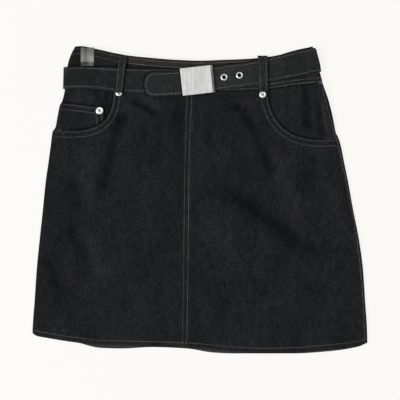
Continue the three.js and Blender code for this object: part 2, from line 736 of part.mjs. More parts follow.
for (const { name, x, y, radius } of RIVETS) {
  const onCoin = name === 'rivet_coin' ? CLOTH + GAP : 0;
  const carrier = name === 'rivet_coin' ? yokeFace : frontFace;
  add(name, rivet(radius), STEEL).position.set(x, y, carrier(x, y) + onCoin + RIVET.seat);
}
EYELETS.forEach((x, i) => {
  add(`eyelet_${i + 1}`, eyelet(), STEEL).position.set(x, read(BELT, 'x', x, 'over'), BELT_TOP);
});

const buckle = add('buckle_plate', plate(), STEEL);
buckle.position.set(PLATE.x, PLATE.y, PLATE_FLOOR + PLATE.bevel);
buckle.rotation.z = THREE.MathUtils.degToRad(PLATE.turn);
add('tab', tab(), SATIN).position.z = BAND_TOP + GAP;

export default group;
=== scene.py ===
"""A denim skirt with its own belt, laid flat on a pale floor: its cloth, stitching and metal.

Sizes are in millimetres, and MM turns them into Blender's metres as a mesh is made.
X runs to the right across the front, Y up towards the waist, and Z up from the floor.
"""

import math
from types import SimpleNamespace

import bpy
import bmesh
import numpy as np
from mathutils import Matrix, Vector
from mathutils.geometry import delaunay_2d_cdt


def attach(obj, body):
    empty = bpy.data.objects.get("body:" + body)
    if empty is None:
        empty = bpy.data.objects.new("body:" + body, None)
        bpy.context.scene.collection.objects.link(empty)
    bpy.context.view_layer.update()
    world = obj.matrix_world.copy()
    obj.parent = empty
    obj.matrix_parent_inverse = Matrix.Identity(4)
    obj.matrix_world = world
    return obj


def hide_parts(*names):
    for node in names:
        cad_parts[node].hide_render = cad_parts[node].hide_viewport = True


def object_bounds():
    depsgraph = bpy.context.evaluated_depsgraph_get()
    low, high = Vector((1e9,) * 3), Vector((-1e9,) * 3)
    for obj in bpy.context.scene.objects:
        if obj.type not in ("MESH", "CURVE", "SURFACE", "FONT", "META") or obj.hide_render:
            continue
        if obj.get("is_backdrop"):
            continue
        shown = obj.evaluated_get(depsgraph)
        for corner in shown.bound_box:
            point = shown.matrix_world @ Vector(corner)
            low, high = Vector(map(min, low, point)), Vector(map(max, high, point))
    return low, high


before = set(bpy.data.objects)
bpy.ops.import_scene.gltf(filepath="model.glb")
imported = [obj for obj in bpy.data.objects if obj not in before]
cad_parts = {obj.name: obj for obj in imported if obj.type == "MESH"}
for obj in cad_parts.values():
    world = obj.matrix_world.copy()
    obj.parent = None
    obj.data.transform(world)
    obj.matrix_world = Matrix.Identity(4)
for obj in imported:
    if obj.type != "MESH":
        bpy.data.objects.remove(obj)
cad_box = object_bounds()

MM = 0.001

# A distance past the reach of anything that depends on one
FAR = 99.0

# Cloth thicknesses, and the clearance between pieces that are sewn or lie together
CLOTH = 1.2
HEM = 2.0
BAND = 2.2
STRAP = 2.0
LOOP = 1.2
GAP = 0.3

# Heights of the layers at the waist, from the floor up
BELT_FLOOR = LOOP + GAP
BAND_FLOOR = BELT_FLOOR + STRAP + GAP
BAND_STEP = 0.8
WAIST_LIFT = BAND_FLOOR + BAND_STEP
SKIRT_FOLD = 4.6
BAND_TOP = WAIST_LIFT + SKIRT_FOLD + BAND_STEP
BELT_CLEAR = 1.2
BELT_TOP = BAND_TOP + BELT_CLEAR + STRAP
TIP_TOP = BELT_TOP + GAP + STRAP
PLATE_FLOOR = TIP_TOP + GAP

# How the skirt lies: the back comes down to the floor below the waist, and the front swells off its sides
LIFT_RUN = 90
SWELL = 0.5
SWELL_RUN = 30

# Seams and hems
FELLED_WIDTH = 9.6
FELLED_PROUD = 0.6
HEM_DEPTH = 8
BACK_SEAM_X = 13
HEM_LAP = 0.9
HEM_RIPPLE = 7.2

# How finely the cloth is divided, and how round its cut and folded edges are
SPACING = 2.6
FOLD_STEPS = 10
ROUNDNESS = 0.42

# The skirt's two sides, from the hem up to the waist: y, left, right
SIDES = [
    (-215, -244.2, 244.3),
    (-189, -244, 243.6),
    (-145, -241.1, 240.7),
    (-102, -238.2, 237.8),
    (-59, -234, 232.1),
    (-15, -229.3, 223.5),
    (28, -224.9, 215.7),
    (55, -221, 210.2),
    (79, -217.8, 205.4),
    (92, -216.1, 201.2),
    (97, -215.2, 198.4),
    (101, -214.2, 197.4),
    (105, -211, 196.6),
    (122, -207.5, 193.1),
    (138, -203.9, 189),
    (144, -200.5, 187.4),
    (157, -197.1, 182.8),
    (166, -196, 179.6),
    (183, -194.5, 175),
    (191, -193.3, 172.3),
    (202, -190.9, 170),
    (214, -186.3, 167),
    (222, -182.1, 164.5),
]

# The side seams, left on the back and right on the front: y, left, right
SIDE_SEAMS = [
    (-222, -235.7, 239.5),
    (-145, -232, 235.8),
    (-59, -224.9, 227.1),
    (28, -215.8, 210.7),
    (79, -208.3, 199.8),
    (101, -203.7, 193.1),
    (222, -173, 159),
]

# The waistband's lower seam and its top edge: x, seam, top
WAIST = [
    (-192, 177, 220.7),
    (-174, 177.5, 223.4),
    (-148, 175.5, 218.8),
    (-126, 170, 213.8),
    (-100, 165.3, 209.3),
    (-68, 162, 206.1),
    (-35, 159.6, 203.6),
    (0, 158.3, 202.3),
    (35, 158.4, 203.5),
    (70, 159.4, 205),
    (100, 161.2, 208),
    (135, 166, 214.4),
    (177, 170.5, 219.5),
]

# The lower edges of the front and the back: x, front, back
HEMS = [
    (-243.7, -191.5, -190.5),
    (-239.5, -197.5, -196),
    (-222, -201.1, -200),
    (-183, -207.3, -207),
    (-145, -211.9, -215.9),
    (-115, -212.6, -216.8),
    (-70, -213.5, -214.7),
    (-20, -215.4, -216.7),
    (20, -218.5, -222.7),
    (50, -221.8, -224),
    (95, -223.2, -224),
    (135, -222.4, -224),
    (190, -217.9, -220.6),
    (230, -213.1, -214.3),
    (241.4, -208.5, -209),
    (243.7, -202.5, -203.5),
]

# The centre front seam's folded edge: y, x
CENTRE_FRONT = [
    (-222, -17.4),
    (-142, -16),
    (-87, -15.3),
    (-10, -14.5),
    (40, -14),
    (85, -12.8),
    (125, -11),
    (160, -9.8),
]

# Soft folds of the front: x and y at each end, width, height
FRONT_FOLDS = [
    (-126.5, 82, -143.5, 14, 8, -1.5),
    (-162, 74, -168, -14, 13, 0.9),
    (-32, 138, -27, 0, 10, -0.9),
    (12, 122, 15, 82, 7, -0.9),
    (50, 137, 78, 103, 8.5, -0.9),
    (90, 67, 106, 38, 9, -1.8),
    (115, 58, 158, -56, 15, 1.2),
    (40, 12, 156, -69, 14, -1.9),
    (160, -71, 226, -73, 7, -0.8),
    (162, 62, 149, 10, 15, -0.9),
    (18, -32, 46, -86, 12, 0.9),
    (-190, -32, -161, -110, 10, -0.9),
    (-172, -36, -137, -108, 11, 0.8),
    (-223, -84, -202, -142, 9, -0.9),
    (148, -126, 181, -133, 7, -0.9),
]
# Sharper creases of the front, most of them below the belt
FRONT_CREASES = [
    (-98, 144, -63, 124, 4.2, -1.1),
    (-74, 149, -58, 134, 4.5, 0.6),
    (-113, 147, -95, 130, 5, 0.5),
    (-60, 112, -66, 44, 6.5, -0.5),
    (-112, 124, -124, 92, 6.5, -0.9),
    (-126, 121, -106, 114, 4.5, -0.5),
    (66, 124, 90, 74, 6.5, -0.7),
    (40, 139, 66, 131, 5, -0.5),
    (-4, 92, 0, 22, 7, 0.5),
    (-9, -14, -5, -34, 4.5, -0.6),
    (-192, 31, -173, -18, 9, -0.5),
    (-152, -101, -133, -110, 7, 0.6),
    (179, -76, 179, -106, 5, -0.4),
    (-212, 40, -216, -170, 30, -0.22),
    (-105, 60, -112, 18, 7, 0.5),
    (60, 60, 66, 22, 8, -0.4),
    (-60, -60, -72, -96, 8, -0.4),
    (74, -112, 96, -140, 9, -0.4),
    (-98, -122, -92, -160, 9, 0.4),
    (40, -140, 30, -180, 9, -0.4),
    (196, 12, 204, -40, 7, 0.5),
]
# Soft folds of the back, as deep as the floor under it allows
BACK_FOLDS = [
    (-150, 90, -165, 10, 12, 0.4),
    (-70, 120, -50, 40, 14, 0.5),
    (60, 110, 90, 20, 12, 0.4),
    (150, 40, 180, -70, 16, 0.5),
    (-120, -40, -150, -140, 18, 0.4),
    (30, -20, 20, -120, 15, 0.3),
]
# Creases of the two pocket facings, between the mouth's edge and the waist
YOKE_FOLDS = [
    (-135, 161, -134, 123, 4.5, -0.8),
    (-151, 158, -145, 143, 4.5, -0.5),
    (-159, 158, -158, 140, 4.5, 0.3),
    (-179, 163, -178, 142, 4.5, 0.6),
    (153.5, 163, 156, 102, 6.5, -0.8),
    (169, 146, 174, 122, 5.5, -0.7),
    (173, 124, 179, 92, 5, -0.7),
    (179, 144, 187, 98, 4, 1),
    (164, 156, 167, 112, 4, 0.4),
]
# Slow waves that keep wide stretches of cloth from lying dead flat. Each has a wavelength, a direction in
# degrees, a height and a phase
WAVES = [
    (84, 20, 0.14, 0.4),
    (61, 105, 0.1, 2.1),
    (47, 62, 0.08, 4.0),
    (33, 150, 0.05, 1.2),
    (24, 88, 0.035, 5.1),
]

# The pocket mouths: the lowest point, the reach towards the centre, the top, the depth and the roundness
SCOOP_LEFT = SimpleNamespace(x=-190, reach=64, top=159.5, depth=58.5, power=2.6)
SCOOP_RIGHT = SimpleNamespace(x=178, reach=-80, top=168, depth=80, power=2.4)
YOKE_LEFT = SimpleNamespace(inner=-110, bottom=88, seated=-196.2)
YOKE_RIGHT = SimpleNamespace(inner=82, bottom=74, seated=182.5)
COIN = SimpleNamespace(right=-140, right_top=134, left_top=141.5)

# The belt: x, its middle beside the skirt, its middle where its end lies over, its width
BELT = [
    (-198, 176.8, 167.1, 31.5),
    (-174, 177.8, 167.1, 31.5),
    (-150, 176.8, 167.1, 32),
    (-125, 174.6, 167.1, 34),
    (-100, 173.2, 167.1, 34.6),
    (-75, 172.6, 167.2, 35),
    (-45, 172.4, 168, 35),
    (-5, 173, 172, 35),
    (29, 176.8, 176.8, 34.8),
    (67, 181.8, 181.8, 34.6),
    (97, 187.3, 187.3, 34.6),
    (120, 192.7, 192.7, 35.2),
    (140, 197.4, 197.4, 36),
    (170, 204, 204, 35.4),
]
# Where the belt turns round the sides: y, left, right
BELT_SIDES = [
    (150, -199.4, 179.2),
    (191, -198.3, 175.6),
    (221, -197.6, 168.4),
]
BELT_SPLIT = 12
# The back waistband shows above the front one at the right
BACK_RISE = SimpleNamespace(start=92, run=75, height=6)
UNDER_END_X = -14
TIP = SimpleNamespace(x=-81, depth=12, drop_from=-12, drop_to=18)
EYELETS = [34.8, 57]
EYELET = SimpleNamespace(hole=2.7, barrel=3.2, flange=4.8, height=0.7, cut=3.55)

PLATE = SimpleNamespace(
    x=-5.3, y=172.3, width=43.8, height=39.6, thick=2.5, turn=6.5, bevel=0.7, lip=3.6, drop=2.4
)

# Belt loops on the front: the middle of each end and the width there, from the top down
FRONT_LOOPS = {
    "loop_front_left": SimpleNamespace(x1=-111.8, y1=206.6, x2=-117.7, y2=155.2, wide=12, narrow=11.2),
    "loop_front_right": SimpleNamespace(x1=90.6, y1=209.4, x2=92.4, y2=156.6, wide=14.6, narrow=12.4),
}
LOOP_SEAT = 11.3
BACK_LOOPS = {"loop_back_left": -112, "loop_back_centre": BACK_SEAM_X, "loop_back_right": 62}
BACK_LOOP_WIDTH = 11

RIVETS = {
    "rivet_pocket_left": SimpleNamespace(x=-117.8, y=155.2, radius=4.6),
    "rivet_pocket_right": SimpleNamespace(x=90.8, y=153, radius=4.8),
    "rivet_coin": SimpleNamespace(x=-145.9, y=129.8, radius=5.3),
}
RIVET_SEAT = 0.5
TAB = SimpleNamespace(left=-173, right=-153.4, top=221, bottom=194.6, thick=1, corner=2.5)

# Sewing: how far the rows lie from the edges, and the thread
HEM_ROW = 7.5
SEAM_ROWS = (2.1, 8.4)
MOUTH_ROWS = (2.4, 9.6)
BAND_TOP_ROWS = (4, 11.2)
BAND_BOTTOM_ROWS = (2, 7.2)
BELT_ROW = 2.9
LOOP_ROW = 1.7
COIN_ROWS = (2.2, 9.2)
COIN_SIDE_ROWS = (2.4, 9.8)
SIDE_ROW = 1.6
FINE = SimpleNamespace(length=2.9, pitch=3.8, width=0.6, proud=0.22)
CHUNKY = SimpleNamespace(length=3.4, pitch=4.3, width=0.85, proud=0.34)
# How far painted shade reaches beside the lines where one piece stands over another
SHADE_REACH = 3.6

# How far the panels run up into the waistband, and how deep they sink there
TUCK = 3
TUCK_DEPTH = 2.3

# The camera is straight above the skirt, and VIEW_WIDTH is how much of the skirt's plane its picture spans
VIEW_WIDTH = 580
LENS = 85
SENSOR = 36


def curve(rows, column):
    """Reads a column of a table at places along its first one, on a curve that doesn't overshoot its rows."""
    keys = np.array([row[0] for row in rows], float)
    values = np.array([row[column] for row in rows], float)
    slopes = np.diff(values) / np.diff(keys)
    product = slopes[:-1] * slopes[1:]
    total = np.where(product > 0, slopes[:-1] + slopes[1:], 1)
    inner = np.where(product > 0, 2 * product / total, 0)
    tangents = np.concatenate([slopes[:1], inner, slopes[-1:]])

    def at(place):
        place = np.asarray(place, float)
        i = np.clip(np.searchsorted(keys, place, side="right") - 1, 0, len(keys) - 2)
        width = keys[i + 1] - keys[i]
        t = np.clip((place - keys[i]) / width, 0, 1)
        start = values[i] * (1 + 2 * t) * (1 - t) ** 2 + tangents[i] * width * t * (1 - t) ** 2
        end = values[i + 1] * t * t * (3 - 2 * t) - tangents[i + 1] * width * t * t * (1 - t)
        return start + end

    return at


def mix(a, b, t):
    return a + (b - a) * t


def smooth(t):
    t = np.clip(t, 0, 1)
    return t * t * (3 - 2 * t)


left_side = curve(SIDES, 1)
right_side = curve(SIDES, 2)
seam_left = curve(SIDE_SEAMS, 1)
seam_right = curve(SIDE_SEAMS, 2)
centre_front = curve(CENTRE_FRONT, 1)
waist_seam = curve(WAIST, 1)
waist_top = curve(WAIST, 2)
front_hem = curve(HEMS, 1)
back_hem = curve(HEMS, 2)
belt_under = curve(BELT, 1)
belt_over = curve(BELT, 2)
belt_width = curve(BELT, 3)


def under_seam(x):
    """The panels' top edge, just below the waistband's seam."""
    return waist_seam(x) - 2 * GAP


def folds(rows, x, y):
    """The height of a table's soft folds at a place, each fading out past both of its ends."""
    total = np.zeros(np.broadcast(x, y).shape)
    for x1, y1, x2, y2, width, height in rows:
        dx, dy = x2 - x1, y2 - y1
        length = math.hypot(dx, dy)
        along = ((x - x1) * dx + (y - y1) * dy) / length**2
        across = ((x - x1) * dy - (y - y1) * dx) / length
        ends = smooth(along * 3 + 0.6) * smooth((1 - along) * 3 + 0.6)
        total = total + height * ends * np.exp(-((across / width) ** 2))
    return total


def waves(x, y):
    total = 0
    for length, direction, height, phase in WAVES:
        angle = math.radians(direction)
        along = x * math.cos(angle) + y * math.sin(angle)
        total = total + height * np.sin(2 * math.pi * along / length + phase)
    return total


def from_side(x, y):
    """How far a place is from the nearer side fold."""
    return np.minimum(x - left_side(y), right_side(y) - x) - SKIRT_FOLD / 2


def front_relief(x, y):
    return folds(FRONT_FOLDS, x, y) + folds(FRONT_CREASES, x, y)


def front_hollows(x, y):
    """How light or dark the front is painted: painted shade in its hollows and painted highlight on its
    ridges, more so by its sharp creases, and darker along its hem.
    """
    hem = -0.45 * (1 - smooth((y - front_hem(x) - HEM_ROW + 1) / 2))
    return 0.8 * folds(FRONT_FOLDS, x, y) + 1.5 * folds(FRONT_CREASES, x, y) + hem


def lift(x, y):
    return WAIST_LIFT * smooth(1 - (waist_seam(x) - y) / LIFT_RUN)


def back_face(x, y):
    """The back's outer face: flat on the floor, with soft folds inwards, rising to the waist."""
    inside = smooth((from_side(x, y) - 6) / SWELL_RUN)
    return lift(x, y) + folds(BACK_FOLDS, x, y) * inside


def front_face(x, y):
    swell = SWELL + front_relief(x, y) + waves(x, y)
    return lift(x, y) + SKIRT_FOLD + swell * smooth(from_side(x, y) / SWELL_RUN)


def in_mouth(scoop, x, y):
    """How far inside a pocket mouth a place is: 0 at its edge, rising to 1."""
    across = np.abs((x - scoop.x) / scoop.reach) ** scoop.power
    inward = (x - scoop.x) * np.sign(scoop.reach) > 0
    down = np.abs(np.clip(scoop.top - y, 0, None) / scoop.depth) ** scoop.power
    return smooth((1 - down - np.where(inward, across, 0)) / 0.35)


def yoke_relief(x, y):
    inside = np.maximum(in_mouth(SCOOP_LEFT, x, y), in_mouth(SCOOP_RIGHT, x, y))
    return folds(YOKE_FOLDS, x, y) * inside


def yoke_face(x, y):
    """The pocket facing: level with the front at the side, under it from there on, with its own creases."""
    depth = (CLOTH + GAP) * smooth((from_side(x, y) - 5) / 8)
    return front_face(x, y) - depth + yoke_relief(x, y)


# Painted shade in the facings' creases and painted highlight on their ridges, and lighter on the right facing
def yoke_tone(x, y):
    return 1.8 * yoke_relief(x, y) + 0.3 * smooth(x / 50)


def belt_wave(x, y):
    """How far the belt's stretches stand up from lying level: a little, and unevenly."""
    return 0.16 * np.sin(x / 17 + 0.6) + 0.1 * np.sin(x / 7.3 + y / 11) - 0.16


def band_wave(x, y):
    return 0.1 * np.sin(x / 12 + y / 30) + 0.08 * np.sin(x / 5.1 + 1.3)


def level(height):
    return lambda x, y: np.full(np.broadcast(x, y).shape, float(height))


# The tones are painted light and shade: on the front by front_hollows, and on the back painted shade in its
# folds
SKIRT = SimpleNamespace(
    front=front_face, back=back_face, radius=SKIRT_FOLD / 2, left=left_side, right=right_side,
    front_tone=front_hollows, back_tone=lambda x, y: -1.5 * folds(BACK_FOLDS, x, y),
)
YOKE = SimpleNamespace(**{**vars(SKIRT), "front": yoke_face, "front_tone": yoke_tone})
COIN_LAYER = SimpleNamespace(**{**vars(SKIRT), "front": lambda x, y: yoke_face(x, y) + CLOTH + GAP})
WAISTBAND = SimpleNamespace(
    front=lambda x, y: BAND_TOP + band_wave(x, y),
    back=level(BAND_FLOOR),
    radius=(BAND_TOP - BAND_FLOOR) / 2,
    left=left_side,
    right=right_side,
    # Painted shade and highlight by the band's waves, and painted shade left of the left loop
    front_tone=lambda x, y: 3 * band_wave(x, y) - 0.5 * (1 - smooth((x + 122) / 12)),
    back_tone=level(0),
)


def narrow_layer(front, back):
    """A layer for a small piece that turns round no side."""
    far = 400
    return SimpleNamespace(
        front=front, back=back, radius=1, left=lambda v: -far + 0 * v, right=lambda v: far + 0 * v,
        front_tone=level(0), back_tone=level(0),
    )


BELT_RING = SimpleNamespace(
    front=lambda x, y: BELT_TOP + belt_wave(x, y),
    back=level(BELT_FLOOR),
    radius=(BELT_TOP - BELT_FLOOR) / 2,
    left=curve(BELT_SIDES, 1),
    right=curve(BELT_SIDES, 2),
    # Painted shade and highlight by the belt's waves, and a darker tone all along
    front_tone=lambda x, y: belt_wave(x, y) - 0.28,
    back_tone=level(0),
)


def over_belt(x, y):
    """The strap's end: over the left run as far as the buckle, and level with it from there on."""
    drop = smooth((x - TIP.drop_from) / (TIP.drop_to - TIP.drop_from))
    return mix(TIP_TOP, BELT_TOP, drop) + belt_wave(x, y)


def strap_tone(x, y):
    """How light the strap looks: painted shade and highlight by its waves, lightest beside the buckle, darker
    at its far right and left of it.
    """
    by_eyelets = 0.35 * smooth((x + 20) / 40) * smooth((95 - x) / 50)
    far_right = 0.34 * smooth((x - 80) / 30)
    return belt_wave(x, y) + by_eyelets - far_right - 0.5 * smooth((-20 - x) / 20)


BELT_OVER = SimpleNamespace(**{**vars(BELT_RING), "front": over_belt, "front_tone": strap_tone})


def fold_start(layer, side, v):
    """Where a layer starts to turn round a side, -1 for the left and 1 for the right."""
    edge = layer.left(v) if side < 0 else layer.right(v)
    return edge - side * layer.radius


def wrap(layer, side, u, v):
    """Where a place of the flat cloth comes to lie: its x, and its turn, 0 on the front, pi on the back."""
    start = fold_start(layer, side, v)
    past = side * (u - start)
    arc = math.pi * layer.radius
    turn = np.clip(past / layer.radius, 0, math.pi)
    x = np.where(past <= 0, u, np.where(past >= arc, start - side * (past - arc), start))
    return x, turn


def fold_tone(layer, side, u, v):
    """The painted light of the folds at places of the flat cloth: above zero for painted highlight on ridges,
    below it for painted shade in hollows.
    """
    x, turn = wrap(layer, side, u, v)
    return np.where(turn > 0, layer.back_tone(x, v), layer.front_tone(x, v))


def unroll(layer, side, x, v):
    """The place on the flat cloth of an x on the back."""
    start = fold_start(layer, side, v)
    return start + side * (math.pi * layer.radius + side * (start - x))


def place(layer, side, u, v):
    """Points of a layer's outer face and their outward normals, for places of the flat cloth."""
    x, turn = wrap(layer, side, u, v)
    on_fold = (turn > 0) & (turn < math.pi)
    on_back = turn >= math.pi
    near = 0.4

    def height(px, py):
        return np.where(on_back | on_fold, layer.back(px, py), layer.front(px, py))

    z = height(x, v) + np.where(on_fold, layer.radius * (1 + np.cos(turn)), 0)
    points = np.stack([x + np.where(on_fold, side * layer.radius * np.sin(turn), 0), v, z], -1)
    slope_x = height(x - near, v) - height(x + near, v)
    slope_y = height(x, v - near) - height(x, v + near)
    faces = np.stack([slope_x, slope_y, np.full_like(z, 2 * near)], -1)
    faces = faces * np.where(on_back, -1, 1)[..., None]
    round_it = np.stack([side * np.sin(turn), np.zeros_like(z), np.cos(turn)], -1)
    normals = np.where(on_fold[..., None], round_it, faces)
    return points, normals / np.linalg.norm(normals, axis=-1, keepdims=True)


def steps(start, end, spacing=SPACING):
    """Evenly spaced values from start to end, both included."""
    count = max(int(round(abs(end - start) / spacing)), 1)
    return np.linspace(start, end, count + 1)


def run_across(layer, side, start, end, height):
    """An outline's stretch from one u to another, at a height that depends on x."""
    u = steps(start, end)
    v = np.zeros_like(u)
    for _ in range(6):
        v = height(wrap(layer, side, u, v)[0])
    return np.stack([u, v], 1)


def run_up(start, end, across):
    """An outline's stretch from one v to another, at a place that depends on v."""
    v = steps(start, end)
    return np.stack([across(v) + 0 * v, v], 1)


def meet(across, height, start):
    """The v where an upright edge meets a level one."""
    v = start
    for _ in range(12):
        v = float(height(across(v)))
    return v


def joined(*stretches):
    """One outline from its stretches in order, with no point twice."""
    points = np.concatenate(stretches)
    apart = np.linalg.norm(points - np.roll(points, 1, 0), axis=1)
    return points[apart > 0.15]


def segments_of(lines):
    starts = np.concatenate([line[:-1] for line in lines])
    ends = np.concatenate([line[1:] for line in lines])
    return starts, ends


def sewn(*lines, kind=FINE, bright=1.0):
    """Rows of stitches of one kind, as bright as each other."""
    return [SimpleNamespace(line=np.asarray(line), kind=kind, bright=bright) for line in lines]


def distance(points, lines):
    """How far each point is from the nearest of several lines of points."""
    best = np.full(len(points), 1e9)
    for start, end in zip(*segments_of(lines)):
        run = end - start
        t = np.clip(((points - start) @ run) / max(run @ run, 1e-9), 0, 1)
        best = np.minimum(best, np.linalg.norm(points - start - t[:, None] * run, axis=1))
    return best


def inside(points, outline):
    """Whether each point lies inside a closed outline."""
    result = np.zeros(len(points), bool)
    x, y = points.T
    for (x1, y1), (x2, y2) in zip(outline, np.roll(outline, -1, 0)):
        if y1 == y2:
            continue
        crosses = ((y1 > y) != (y2 > y)) & (x < x1 + (y - y1) * (x2 - x1) / (y2 - y1))
        result ^= crosses
    return result


def closed(outline):
    return np.concatenate([outline, outline[:1]])


def offset(line, amount):
    """A line moved sideways, to its left as it runs."""
    run = np.gradient(line, axis=0)
    run /= np.linalg.norm(run, axis=1, keepdims=True)
    return line + amount * np.stack([-run[:, 1], run[:, 0]], 1)


def resampled(line, spacing):
    """A line's points, spread evenly along it."""
    along = np.concatenate([[0], np.cumsum(np.linalg.norm(np.diff(line, axis=0), axis=1))])
    at = steps(0, along[-1], spacing)
    return np.stack([np.interp(at, along, line[:, 0]), np.interp(at, along, line[:, 1])], 1)


def interior(layer, side, outline, holes, lines, spacing):
    """Points inside the flat cloth: an even grid, closer round the side fold and along the lines."""
    low, high = outline.min(0), outline.max(0)
    arc = math.pi * layer.radius
    grid = []
    for i, v in enumerate(np.arange(low[1] + spacing / 2, high[1], spacing * 0.87)):
        start = float(fold_start(layer, side, v))
        u = np.arange(low[0] + (i % 2) * spacing / 2, high[0], spacing)
        past = side * (u - start)
        u = u[(past < -0.8) | (past > arc + 0.8)]
        bent = start + side * np.linspace(0, arc, FOLD_STEPS + 1)
        grid.append(np.stack([np.concatenate([u, bent]), np.full(len(u) + len(bent), v)], 1))
    grid = np.concatenate(grid)
    grid = grid[inside(grid, outline)]
    if lines:
        grid = grid[distance(grid, lines) > 1.5]
        beside = [offset(resampled(line, 1.6), amount) for line in lines for amount in (-1, 0, 1)]
        grid = np.concatenate([grid, *[line[inside(line, outline)] for line in beside]])
    grid = grid[distance(grid, [closed(outline), *map(closed, holes)]) > 0.8]
    for hole in holes:
        grid = grid[~inside(grid, hole)]
    return grid


def triangulate(outline, holes, points):
    """The flat cloth's own triangles, wound anticlockwise."""
    loops = [outline, *holes]
    places = np.concatenate([*loops, points])
    edges, first = [], 0
    for loop in loops:
        edges += [(first + i, first + (i + 1) % len(loop)) for i in range(len(loop))]
        first += len(loop)
    result = delaunay_2d_cdt([Vector(p) for p in places.tolist()], edges, [], 0, 1e-5)
    places = np.array([tuple(p) for p in result[0]])
    faces = np.array(result[2])
    middle = places[faces].mean(1)
    keep = inside(middle, outline)
    for hole in holes:
        keep &= ~inside(middle, hole)
    return places, faces[keep]


def new_object(name, points, faces, material):
    mesh = bpy.data.meshes.new(name)
    points = np.array(points, float)
    points[:, 2] = np.maximum(points[:, 2], 0)
    mesh.from_pydata((points * MM).tolist(), [], faces)
    mesh.validate()
    mesh.shade_smooth()
    mesh.materials.append(material)
    made = bpy.data.objects.new(name, mesh)
    bpy.context.scene.collection.objects.link(made)
    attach(made, "root")
    return made


def write_attribute(made, name, kind, values):
    attribute = made.data.attributes.new(name, kind, "POINT")
    key = "vector" if kind == "FLOAT_VECTOR" else "value"
    attribute.data.foreach_set(key, np.asarray(values, np.float32).ravel())


def boundary(faces):
    """The edges that only one triangle uses, each as it runs in that triangle."""
    directed = np.concatenate([faces[:, [0, 1]], faces[:, [1, 2]], faces[:, [2, 0]]])
    _, index, count = np.unique(np.sort(directed, 1), axis=0, return_index=True, return_counts=True)
    return directed[index[count == 1]]


def thicken(points, normals, thick, faces):
    """A closed piece of cloth from its outer face: that face, the inner one and a rounded rim."""
    count = len(points)
    rim = boundary(faces)
    outward = np.zeros_like(points)
    run = points[rim[:, 1]] - points[rim[:, 0]]
    run /= np.linalg.norm(run, axis=1, keepdims=True)
    for end in (0, 1):
        np.add.at(outward, rim[:, end], np.cross(run, normals[rim[:, end]]))
    on_rim = np.unique(rim)
    outward[on_rim] /= np.linalg.norm(outward[on_rim], axis=1, keepdims=True)
    inset = (ROUNDNESS * thick)[:, None]
    layers = [points - outward * inset, points - outward * inset - normals * thick[:, None]]
    ring_index = {0: np.arange(count), 4: np.arange(count) + count}
    slot = np.full(count, -1)
    slot[on_rim] = np.arange(len(on_rim))
    for k in (1, 2, 3):
        angle = math.pi * k / 4
        depth = (thick * (1 - math.cos(angle)) / 2)[:, None]
        ring = points - outward * inset * (1 - math.sin(angle)) - normals * depth
        layers.append(ring[on_rim])
        ring_index[k] = slot + 2 * count + (k - 1) * len(on_rim)
    solid = [tuple(face) for face in faces.tolist()]
    solid += [tuple(face) for face in (faces[:, ::-1] + count).tolist()]
    for k in range(4):
        above, below = ring_index[k], ring_index[k + 1]
        a, b = rim.T
        solid += np.stack([above[b], above[a], below[a], below[b]], 1).tolist()
    source = np.concatenate([np.arange(count), np.arange(count), on_rim, on_rim, on_rim])
    inner = np.concatenate([np.zeros(count), np.ones(count), np.zeros(3 * len(on_rim))])
    return np.concatenate(layers), solid, source, inner


def cloth(name, layer, side, outline, material, rows=(), creases=(), shaded=(), holes=(), spacing=SPACING,
          thick=None, proud=None, worn=None, thickness=CLOTH):
    """One piece of cloth from its flat outline, with its rows of stitches in shallow channels.

    creases are further lines that its mesh follows, and shaded the lines beside which little light reaches
    it. thick, proud and worn, where given, say how thick it is, how far it stands out and how worn it is, at
    each u and v.
    """
    sewing = [row.line for row in rows]
    points = interior(layer, side, outline, holes, sewing + list(creases), spacing)
    flat, faces = triangulate(outline, holes, points)
    u, v = flat.T
    outer, normals = place(layer, side, u, v)
    edge = distance(flat, [closed(outline), *map(closed, holes)])
    seam = distance(flat, sewing) if sewing else np.full(len(flat), FAR)
    dim = distance(flat, shaded) if shaded else np.full(len(flat), FAR)
    raised = -0.16 * np.exp(-((seam / 0.9) ** 2))
    if proud is not None:
        raised = raised + proud(u, v)
    outer = outer + normals * raised[:, None]
    depth = thick(u, v) if thick is not None else np.full(len(flat), float(thickness))
    solid, quads, source, inner = thicken(outer, normals, depth, faces)
    made = new_object(f"{name}_cloth", solid, quads, material)
    write_attribute(made, "cloth", "FLOAT_VECTOR", np.stack([u, v, np.zeros_like(u)], 1)[source])
    # shade is the distance from the shaded lines, for painted shade beside them; relief carries painted shade
    # in hollows and painted highlight on ridges
    tones = {"edge": edge, "seam": seam, "shade": dim, "relief": fold_tone(layer, side, u, v)}
    for key, values in tones.items():
        write_attribute(made, key, "FLOAT", values[source])
    write_attribute(made, "wear", "FLOAT", worn(u, v)[source] if worn is not None else np.zeros(len(source)))
    write_attribute(made, "inner", "FLOAT", inner)
    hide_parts(name)
    thread = sew(name, layer, side, rows, shaded, proud)
    return made


def stitch_form(kind):
    """One stitch, lying along X: its points, and its faces."""
    stations = [(-0.5, 0.16, -0.5), (-0.3, 0.9, 0.55), (0.3, 0.9, 0.55), (0.5, 0.16, -0.5)]
    sides = 6
    points = []
    for along, girth, height in stations:
        for k in range(sides):
            angle = 2 * math.pi * k / sides
            across = math.cos(angle) * kind.width / 2 * girth
            up = kind.proud * height + math.sin(angle) * kind.width * 0.36 * girth
            points.append((along * kind.length, across, up))
    faces = []
    for i in range(len(stations) - 1):
        for k in range(sides):
            j = (k + 1) % sides
            faces.append((i * sides + k, (i + 1) * sides + k, (i + 1) * sides + j, i * sides + j))
    faces.append(tuple(range(sides)))
    last = (len(stations) - 1) * sides
    faces.append(tuple(last + k for k in reversed(range(sides))))
    return np.array(points), faces


